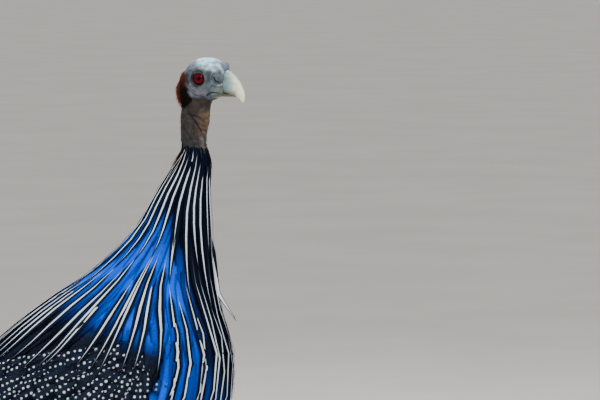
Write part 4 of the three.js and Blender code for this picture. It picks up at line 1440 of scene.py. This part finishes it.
def body_colours(t, degrees, rng):
    """The tone and shade of body feathers rooted at these places."""
    turned = np.abs(degrees)
    count = len(t)
    breast = smooth(110, 118, turned) * (1 - smooth(9.0, 9.8, t + 0.6 * smooth(150, 180, turned)))
    belly = smooth(128, 145, turned) * smooth(8.9, 9.7, t) * (1 - smooth(11.2, 12, t))
    mantle = (1 - smooth(7.2, 7.5, t - 0.5 * smooth(90, 20, turned))) * (1 - breast)
    spots = (1 - breast) * (1 - belly) * (1 - mantle)
    tone = columns(count, breast, spots, 0, (1 - breast) * (1 - belly))
    violet = 0.3 * smooth(104, 112, turned) * (1 - breast)
    warm = 0.35 * (1 - breast)
    return tone, columns(count, violet, rng.uniform(0.42, 0.58, count), warm, rng.random(count))


def make_body(rng, gap):
    coat = Coat()
    t, degrees = lattice(rng, 6.2, TAIL_ROOT - 0.15, gap * 0.82, gap)
    open_air = wing_cover(t + 0.12, degrees) < 0.75
    under_cape = t < round_the_cape(HEM, np.abs(degrees)) - 0.8
    t, degrees = (values[open_air & ~under_cape] for values in (t, degrees))
    long = np.interp(t, (6.5, 8, 10, 13), (29, 30, 31, 33)) * rng.uniform(0.94, 1.06, len(t))
    reach = along_trunk(t, degrees, long)
    shares = np.array(BODY_SHAPE[0])
    ends = np.stack([t - 0.2 * reach, np.minimum(t + 0.8 * reach, TAIL_ROOT + 0.25)], axis=1)
    sway = np.sign(degrees) * rng.normal(1.2, 2.5, len(t))
    turns = np.stack([degrees, degrees + sway], axis=1)
    depth = skin_depth(t)
    outs = np.stack([-depth - 0.2, -0.3 + rng.uniform(-0.5, 0.6, len(t))], axis=1)
    centres, ups = trunk_path(ends, turns, outs, shares)
    tone, shade = body_colours(t, degrees, rng)
    half = np.interp(t, (6.5, 9, 13), (8.8, 9.2, 8.6)) * rng.uniform(0.95, 1.05, len(t))
    coat.grow(
        centres,
        ups,
        half,
        BODY_SHAPE,
        trunk_unwrap(t, degrees),
        tone,
        shade,
        roll=np.radians(rng.normal(0, 4, len(t))),
        cup=0.16,
    )
    coat.piece("body_feathers", material("plumage"), "slate_plumage")


def make_thighs(rng):
    coat = Coat()
    for name, side in SIDES:
        route = leg_route(side, name)
        for row, share in enumerate(np.linspace(*THIGH_ROWS)):
            radius = float(spline(LEG_RADII, share * (len(LEG_RADII) - 1)))
            count = max(8, int(2 * math.pi * radius / THIGH_GAP))
            degrees = (np.arange(count) + 0.5 * (row % 2) + rng.uniform(-0.2, 0.2, count)) / count * 360
            length = np.interp(share, (0.1, 0.43), (0.085, 0.06)) * rng.uniform(0.85, 1.1, count)
            steps = np.array(BODY_SHAPE[0])[None, :]
            at = share + length[:, None] * steps
            out = -0.4 + 2.6 * steps**0.7 + rng.uniform(-0.3, 0.4, count)[:, None]
            there = np.broadcast_to(degrees[:, None], at.shape)
            centres = limb_point(route, LEG_RADII, at, there, out)
            ups = unit(limb_point(route, LEG_RADII, at, there, out + 1) - centres)
            tone = columns(count, 0, 0.85 * smooth(0.42, 0.3, share), 0, 1)
            shade = columns(count, 0, rng.uniform(0.42, 0.56, count), 0.4, rng.random(count))
            root = columns(count, 0.1 + 0.2 * (side == LEFT) + degrees / 3600, 0.2 + share)
            half = np.full(count, min(5.4, radius * 0.32 + 1.2))
            coat.grow(centres, ups, half, BODY_SHAPE, root, tone, shade, cup=0.2)
    coat.piece("thigh_feathers", material("plumage"), "slate_plumage")


def wing_base(side):
    """The wing's own flesh, which its feathers cover."""
    u, v = np.meshgrid(np.linspace(0.015, 0.68, 30), np.linspace(0.16, 0.98, 24), indexing="ij")
    upper = wing_point(side, u, v, plate_top(u, v) - 0.9)
    lower = wing_point(side, u, v, -9.0)
    rows, across, _ = upper.shape
    points = np.concatenate([upper.reshape(-1, 3), lower.reshape(-1, 3)])
    count = rows * across
    faces = grid_faces(rows, across, closed=False)
    faces += [tuple(i + count for i in reversed(face)) for face in faces]
    rim = list(range(across))
    rim += [row * across + across - 1 for row in range(1, rows)]
    rim += [(rows - 1) * across + column for column in range(across - 2, -1, -1)]
    rim += [row * across for row in range(rows - 2, 0, -1)]
    for a, b in zip(rim, rim[1:] + rim[:1]):
        faces.append((b, a, a + count, b + count))
    return points, turned_out(points, faces)


def wing_path(side, u, v, out):
    """Feathers' centre lines on the wing, and which way is out from it."""
    centres = wing_point(side, u, v, out)
    return centres, unit(wing_point(side, u, v, out + 1) - centres)


def wing_unwrap(side, u, v):
    """The wing's place on the skin's unwrap, over the flank that it covers."""
    return trunk_unwrap(WING_START + 4.5 * u, side * (100 - 60 * v))


def lay_long_wing_feathers(coat, rng, side):
    for count, shape, half, rise, root_a, root_b, tip_a, tip_b, lilac, spots in WING_TIERS:
        share = np.linspace(0, 1, count)[:, None]
        roots = np.array(root_a) + (np.array(root_b) - np.array(root_a)) * share
        tips = np.array(tip_a) + (np.array(tip_b) - np.array(tip_a)) * share
        roots = roots + rng.uniform(-0.006, 0.006, roots.shape)
        tips = tips + rng.uniform(-0.006, 0.006, tips.shape)
        steps = np.array(shape[0])[None, :]
        u = roots[:, :1] + (tips - roots)[:, :1] * steps
        v = roots[:, 1:] + (tips - roots)[:, 1:] * steps
        start = plate_top(roots[:, :1], roots[:, 1:]) - 1.6
        out = start + (rise + rng.uniform(-0.25, 0.25, (count, 1)) - start) * steps
        shade = columns(count, lilac, rng.uniform(0.42, 0.54, count), 0.5, rng.random(count))
        coat.grow(
            *wing_path(side, u, v, out),
            half * rng.uniform(0.94, 1.06, count),
            shape,
            wing_unwrap(side, roots[:, 0], roots[:, 1]),
            columns(count, 0, spots, 0, 0.7),
            shade,
            FINE_ACROSS,
            roll=-side * math.radians(7),
            cup=0.1,
            thick=0.4,
        )


def lay_small_coverts(coat, rng, side):
    small_u, small_v = [], []
    for row, at in enumerate(np.arange(-0.07, 0.36, 0.042)):
        places = np.arange(0.06, 1.1, 0.125) + 0.0625 * (row % 2)
        small_u.append(at + 0.06 * (places - 0.5) ** 2 + rng.uniform(-0.006, 0.006, len(places)))
        small_v.append(places + rng.uniform(-0.015, 0.015, len(places)))
    u, v = np.concatenate(small_u), np.concatenate(small_v)
    count = len(u)
    steps = np.array(BODY_SHAPE[0])[None, :]
    length = 0.105 * rng.uniform(0.93, 1.07, count)
    along, up = u[:, None] + length[:, None] * steps, v[:, None] - 0.03 * steps
    before_wing = np.where(u < 0.02, -3.0, 0.0)
    start = np.clip(plate_top(u, v) - 0.6 + before_wing, -4, 4)[:, None]
    end = (plate_top(np.maximum(u + length, 0), v) + 1.6 + 2.0 * smooth(0.05, 0.3, u))[:, None]
    shade = columns(count, 0, rng.uniform(0.42, 0.58, count), 0.35, rng.random(count))
    coat.grow(
        *wing_path(side, along, up, start + (end - start) * steps),
        np.full(count, 8.2),
        BODY_SHAPE,
        wing_unwrap(side, np.maximum(u, 0), v),
        columns(count, 0, 1, 0, 1),
        shade,
        roll=np.radians(rng.normal(0, 5, count)),
        cup=0.18,
    )


def make_wing(rng, name, side):
    coat = Coat()
    lay_long_wing_feathers(coat, rng, side)
    lay_small_coverts(coat, rng, side)
    wing = coat.piece(f"wing_feathers_{name}", material("plumage"), "slate_plumage")
    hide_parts(f"wing_{name}")
    points, faces = wing_base(side)
    attributes = {"tint": opaque(np.broadcast_to(BODY_TINT, points.shape))}
    make_piece(f"wing_flesh_{name}", points, faces, material("skin"), attributes=attributes)


def tail_paths(root, length, yaw, across, root_height, tip_height, steps):
    """Centre lines of tail feathers, and which way is up from them. Each value is one number for all of
    the feathers or one for each."""
    feathers = columns(len(yaw), root, length, yaw, across, root_height, tip_height).T
    root, length, yaw, across, root_height, tip_height = feathers[..., None]
    steps = np.asarray(steps)[None, :]
    along = length * steps
    x = root + along * np.cos(yaw)
    y = across + along * np.sin(yaw) * (1 - 0.25 * steps)
    z = root_height + (tip_height - root_height) * steps - 0.006 * y * y + TAIL_CURVE * (x / 250) ** 2
    centres = in_tail_frame(np.stack([x, y, z], axis=-1))
    return centres, in_tail_frame(np.stack([x, y, z + 1], axis=-1)) - centres


def lay_rectrices(coat, rng):
    """The tail's long feathers in pairs, the middle pair drawn out to points."""
    sides = np.array([-1.0, 1.0])
    for i, (length, half) in enumerate(RECTRICES):
        level = -0.8 * (2 * i + (sides < 0))
        yaw = np.radians(sides * (0.5 + 1.5 * i) + rng.uniform(-0.3, 0.3, 2))
        shape = STREAMER_SHAPE if i == 0 else QUILL_SHAPE
        across = sides * (2 + 1.3 * i)
        path = tail_paths(np.full(2, 2 - i), length + 20, yaw, across, level * 0.8, level * 1.3, shape[0])
        coat.grow(
            *path,
            np.full(2, half),
            shape,
            columns(2, 0.5 + sides * 0.02 * (i + 1), 0.97),
            columns(2, 0, 0.75, 0, 1),
            columns(2, 0, rng.uniform(0.42, 0.54, 2), 0.5, rng.random(2)),
            FINE_ACROSS,
            roll=np.radians(sides * 1.6 * i),
            cup=0.08,
            thick=0.5,
        )


def lay_tail_coverts(coat, rng):
    for k, (count, length, half, root, height, tip, fan) in enumerate(TAIL_COVERTS):
        share = np.linspace(-0.5, 0.5, count)
        yaw = np.radians(share * fan + rng.uniform(-1, 1, count))
        side_up = np.sign(height)
        step = side_up * (5.12 * np.abs(share) + 0.5 * (np.arange(count) % 2))
        lengths = length * rng.uniform(0.9, 1.06, count) + 6
        steps = LONG_BODY_SHAPE[0]
        centres, ups = tail_paths(root - 6, lengths, yaw, share * 22, height - step, tip - step, steps)
        tone = columns(count, 0, 0.9, 0, 1)
        shade = columns(count, 0, rng.uniform(0.42, 0.56, count), 0.4, rng.random(count))
        coat.grow(
            centres,
            ups * side_up,
            half * rng.uniform(0.95, 1.08, count),
            LONG_BODY_SHAPE,
            columns(count, 0.5 + share * 0.4, 0.9 - 0.02 * k),
            tone,
            shade,
            roll=np.radians(share * 14) * side_up,
            cup=0.14,
        )


def make_tail(rng):
    coat = Coat()
    lay_rectrices(coat, rng)
    lay_tail_coverts(coat, rng)
    tail = coat.piece("tail_feathers", material("plumage"), "slate_plumage")
    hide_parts("tail")


def make_nape(rng, count):
    """The band of short down round the back of the head, chestnut behind and nearly black on the sides."""
    coat = Coat()
    t = rng.uniform(1.05, 4.5, count * 2)
    degrees = rng.uniform(-104, 104, count * 2)
    limit = np.interp(t, (1.05, 1.3, 1.7, 2.3, 3, 4, 4.5), (54, 62, 76, 94, 84, 64, 42))
    limit = limit + rng.normal(0, 2, count * 2)
    least = np.interp(t, (1.05, 1.6), (38, 0))
    keep = np.flatnonzero((np.abs(degrees) < limit) & (np.abs(degrees) >= least))[:count]
    t, degrees = t[keep], degrees[keep]
    count = len(t)
    plain = ring_point(SKULL, t, degrees)
    out = unit(ring_point(SKULL, t, degrees, 1.0) - plain)
    down = unit(ring_point(SKULL, t - 0.1, degrees) - plain)
    plain = plain + out * (nape_relief(plain) - 0.3)[:, None]
    back = np.array([-0.5, 0, 0])
    lie = unit(down + back + out * 0.35 + rng.normal(0, 0.16, (count, 3)))
    length = rng.uniform(3.0, 4.6, count)
    steps = np.array(TUFT_SHAPE[0])
    bend = 0.28 * (steps**2)[None, :, None] * down[:, None, :]
    centres = plain[:, None, :] + (lie[:, None, :] + bend) * (length[:, None] * steps)[..., None]
    turned = spline(SKULL, t)[:, 5][:, None]
    placed = in_head_frame(centres, turned)
    ups = in_head_frame(centres + out[:, None, :], turned) - placed
    black = smooth(30, 46, np.abs(degrees) + rng.normal(0, 3, count)) * smooth(5.0, 3.4, t)
    tone = columns(count, 0, black, 0, 0)
    shade = columns(count, 0, rng.uniform(0.35, 0.65, count), 0, rng.random(count))
    root = columns(count, 0.5 + degrees / 360 * 0.9, 0.02 + 0.012 * t)
    coat.grow(placed, ups, np.full(count, 0.42), TUFT_SHAPE, root, tone, shade, cup=0.1)
    nape = coat.piece("nape_down", material("down"), "nape_down")
    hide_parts("nape_patch")


def make_bristles(rng):
    """Sparse hairs on the bare neck, and a few long pale ones where the cape begins."""
    coat = Coat()
    count = FINE_BRISTLES + PALE_BRISTLES
    t = np.concatenate([rng.uniform(0.9, 3.1, FINE_BRISTLES), rng.uniform(2.3, 2.9, PALE_BRISTLES)])
    degrees = np.concatenate([rng.uniform(-180, 180, FINE_BRISTLES), rng.uniform(-60, 60, PALE_BRISTLES)])
    pale = np.arange(count) >= FINE_BRISTLES
    length = np.where(pale, rng.uniform(11, 17, count), rng.uniform(2.0, 4.5, count))
    steps = np.array(TUFT_SHAPE[0])
    ts = t[:, None] + along_trunk(t, degrees, length)[:, None] * steps
    out = (np.where(pale, 0.5, 0.3) * length)[:, None] * steps**1.3 - 0.2
    turns = degrees[:, None] + rng.normal(0, 4, count)[:, None] * steps
    coat.grow(
        trunk_point(ts, turns, out),
        trunk_up(ts, turns),
        np.where(pale, 0.24, 0.13),
        TUFT_SHAPE,
        trunk_unwrap(t, degrees),
        columns(count, pale, 0, 0, 0),
        columns(count, 0, rng.uniform(0.4, 0.6, count), 0, rng.random(count)),
        thick=0.16,
    )
    coat.piece("neck_bristles", material("bristle"), "neck_skin")


# Stage


# What the picture shows: its middle in the bird's millimetres, and its width in metres
PICTURE_CENTRE = np.array([92.0, 0.0, 486.5])
PICTURE_WIDTH = 0.522
SENSOR = 36
LIGHTS = (
    # name, place, power, size, colour
    ("key light", (0.9, -1.6, 2.3), 60, 1.2, (1.0, 0.98, 0.95)),
    ("fill light", (-1.9, -1.9, 1.1), 22, 1.8, (0.9, 0.95, 1.0)),
    ("back light", (-0.6, 2.0, 2.0), 38, 1.4, (1.0, 0.97, 0.93)),
    ("top light", (0.2, 0.1, 2.7), 22, 1.6, (1.0, 1.0, 1.0)),
)


def make_stage(distance, azimuth, elevation):
    """Camera, lights, floor and world."""
    scene = bpy.context.scene
    centre = (PICTURE_CENTRE + OFFSET) * MM
    a, e = math.radians(azimuth), math.radians(elevation)
    back = Vector((math.sin(a) * math.cos(e), -math.cos(a) * math.cos(e), math.sin(e)))
    data = bpy.data.cameras.new("camera")
    data.sensor_width = SENSOR
    data.lens = SENSOR * distance / PICTURE_WIDTH
    camera = bpy.data.objects.new("camera", data)
    bpy.context.collection.objects.link(camera)
    camera.location = Vector(centre) + back * distance
    camera.rotation_mode = "QUATERNION"
    camera.rotation_quaternion = (-back).to_track_quat("-Z", "Y")
    scene.camera = camera

    bpy.ops.object.select_all(action="DESELECT")
    bpy.ops.mesh.primitive_plane_add(size=300, location=(0, 0, 0))
    floor = bpy.context.object
    floor.name = "floor"
    pale_grey = plain_material("floor", (0.68, 0.665, 0.64), (0.72, 0.705, 0.68), 3.0, roughness=0.9)
    floor.data.materials.append(pale_grey)

    aim = Vector((0.1, 0, 0.4))
    for name, place, power, size, colour in LIGHTS:
        lamp = bpy.data.lights.new(name, "AREA")
        lamp.energy, lamp.size, lamp.color = power, size, colour
        lamp_object = bpy.data.objects.new(name, lamp)
        lamp_object.location = place
        lamp_object.rotation_euler = (aim - Vector(place)).to_track_quat("-Z", "Y").to_euler()
        bpy.context.collection.objects.link(lamp_object)

    world = bpy.data.worlds.new("studio")
    world.use_nodes = True
    background = world.node_tree.nodes["Background"]
    background.inputs["Color"].default_value = (0.88, 0.86, 0.83, 1)
    background.inputs["Strength"].default_value = 0.8
    scene.world = world


# Add-on


class CoatSettings(bpy.types.PropertyGroup):
    seed: bpy.props.IntProperty(name="Seed", description="Varies the feathers", default=7, min=0)
    hackle_share: bpy.props.FloatProperty(
        name="Hackles", description="Share of the striped hackles that is made", default=1.0, min=0.3, max=2.0
    )
    feather_gap: bpy.props.FloatProperty(
        name="Feather gap", description="Millimetres between body feathers", default=12.2, min=4.0, max=14.0
    )
    down_count: bpy.props.IntProperty(
        name="Nape down", description="Number of tufts on the nape", default=1900, min=100, max=5000
    )


class StageSettings(bpy.types.PropertyGroup):
    distance: bpy.props.FloatProperty(
        name="Distance", description="From the camera to the bird", default=4.0, min=1.0, unit="LENGTH"
    )
    azimuth: bpy.props.FloatProperty(name="Azimuth", description="Degrees round the bird", default=6.0)
    elevation: bpy.props.FloatProperty(name="Elevation", description="Degrees over the horizon", default=4.0)


def random_for(number):
    return np.random.default_rng([bpy.context.scene.guineafowl_coat.seed, number])


class GUINEAFOWL_OT_skin(bpy.types.Operator):
    """Makes the one skin of the head, neck, body, legs and toes"""

    bl_idname = "guineafowl.skin"
    bl_label = "Skin"

    def execute(self, context):
        make_skin()
        return {"FINISHED"}


class GUINEAFOWL_OT_bill(bpy.types.Operator):
    """Makes both halves of the bill"""

    bl_idname = "guineafowl.bill"
    bl_label = "Bill"

    def execute(self, context):
        make_bill()
        return {"FINISHED"}


class GUINEAFOWL_OT_eyes(bpy.types.Operator):
    """Makes both eyeballs"""

    bl_idname = "guineafowl.eyes"
    bl_label = "Eyes"

    def execute(self, context):
        make_eyes()
        return {"FINISHED"}


class GUINEAFOWL_OT_claws(bpy.types.Operator):
    """Makes the claws"""

    bl_idname = "guineafowl.claws"
    bl_label = "Claws"

    def execute(self, context):
        make_claws()
        return {"FINISHED"}


class GUINEAFOWL_OT_down(bpy.types.Operator):
    """Makes the nape's down and the neck's bristles"""

    bl_idname = "guineafowl.down"
    bl_label = "Down and bristles"

    def execute(self, context):
        make_nape(random_for(1), context.scene.guineafowl_coat.down_count)
        make_bristles(random_for(2))
        return {"FINISHED"}


class GUINEAFOWL_OT_cape(bpy.types.Operator):
    """Makes the cape of hackles"""

    bl_idname = "guineafowl.cape"
    bl_label = "Cape"

    def execute(self, context):
        make_cape(random_for(3), context.scene.guineafowl_coat.hackle_share)
        return {"FINISHED"}


class GUINEAFOWL_OT_body(bpy.types.Operator):
    """Makes the feathers of the body and the thighs"""

    bl_idname = "guineafowl.body"
    bl_label = "Body feathers"

    def execute(self, context):
        make_body(random_for(4), context.scene.guineafowl_coat.feather_gap)
        make_thighs(random_for(5))
        return {"FINISHED"}


class GUINEAFOWL_OT_wings(bpy.types.Operator):
    """Makes both wings"""

    bl_idname = "guineafowl.wings"
    bl_label = "Wings"

    def execute(self, context):
        for name, side in SIDES:
            make_wing(random_for(6), name, side)
        return {"FINISHED"}


class GUINEAFOWL_OT_tail(bpy.types.Operator):
    """Makes the tail feathers and their coverts"""

    bl_idname = "guineafowl.tail"
    bl_label = "Tail"

    def execute(self, context):
        make_tail(random_for(7))
        return {"FINISHED"}


class GUINEAFOWL_OT_stage(bpy.types.Operator):
    """Makes the camera, the lights and the floor"""

    bl_idname = "guineafowl.stage"
    bl_label = "Stage"

    def execute(self, context):
        chosen = context.scene.guineafowl_stage
        make_stage(chosen.distance, chosen.azimuth, chosen.elevation)
        return {"FINISHED"}


OPERATORS = (
    GUINEAFOWL_OT_skin,
    GUINEAFOWL_OT_bill,
    GUINEAFOWL_OT_eyes,
    GUINEAFOWL_OT_claws,
    GUINEAFOWL_OT_down,
    GUINEAFOWL_OT_cape,
    GUINEAFOWL_OT_body,
    GUINEAFOWL_OT_wings,
    GUINEAFOWL_OT_tail,
    GUINEAFOWL_OT_stage,
)


class GUINEAFOWL_PT_panel(bpy.types.Panel):
    """Lists the steps that build the bird"""

    bl_label = "Guineafowl"
    bl_space_type = "VIEW_3D"
    bl_region_type = "UI"
    bl_category = "Guineafowl"

    def draw(self, context):
        coat = context.scene.guineafowl_coat
        for name in ("seed", "hackle_share", "feather_gap", "down_count"):
            self.layout.prop(coat, name)
        stage = context.scene.guineafowl_stage
        for name in ("distance", "azimuth", "elevation"):
            self.layout.prop(stage, name)
        for operator in OPERATORS:
            self.layout.operator(operator.bl_idname)


CLASSES = (CoatSettings, StageSettings, *OPERATORS, GUINEAFOWL_PT_panel)


def register():
    for kind in CLASSES:
        bpy.utils.register_class(kind)
    bpy.types.Scene.guineafowl_coat = bpy.props.PointerProperty(type=CoatSettings)
    bpy.types.Scene.guineafowl_stage = bpy.props.PointerProperty(type=StageSettings)


def unregister():
    del bpy.types.Scene.guineafowl_coat
    del bpy.types.Scene.guineafowl_stage
    for kind in reversed(CLASSES):
        bpy.utils.unregister_class(kind)


def main():
    register()
    steps = bpy.ops.guineafowl
    for step in ("skin", "bill", "eyes", "claws", "down", "cape", "body", "wings", "tail", "stage"):
        getattr(steps, step)()


if __name__ == "__main__":
    main()
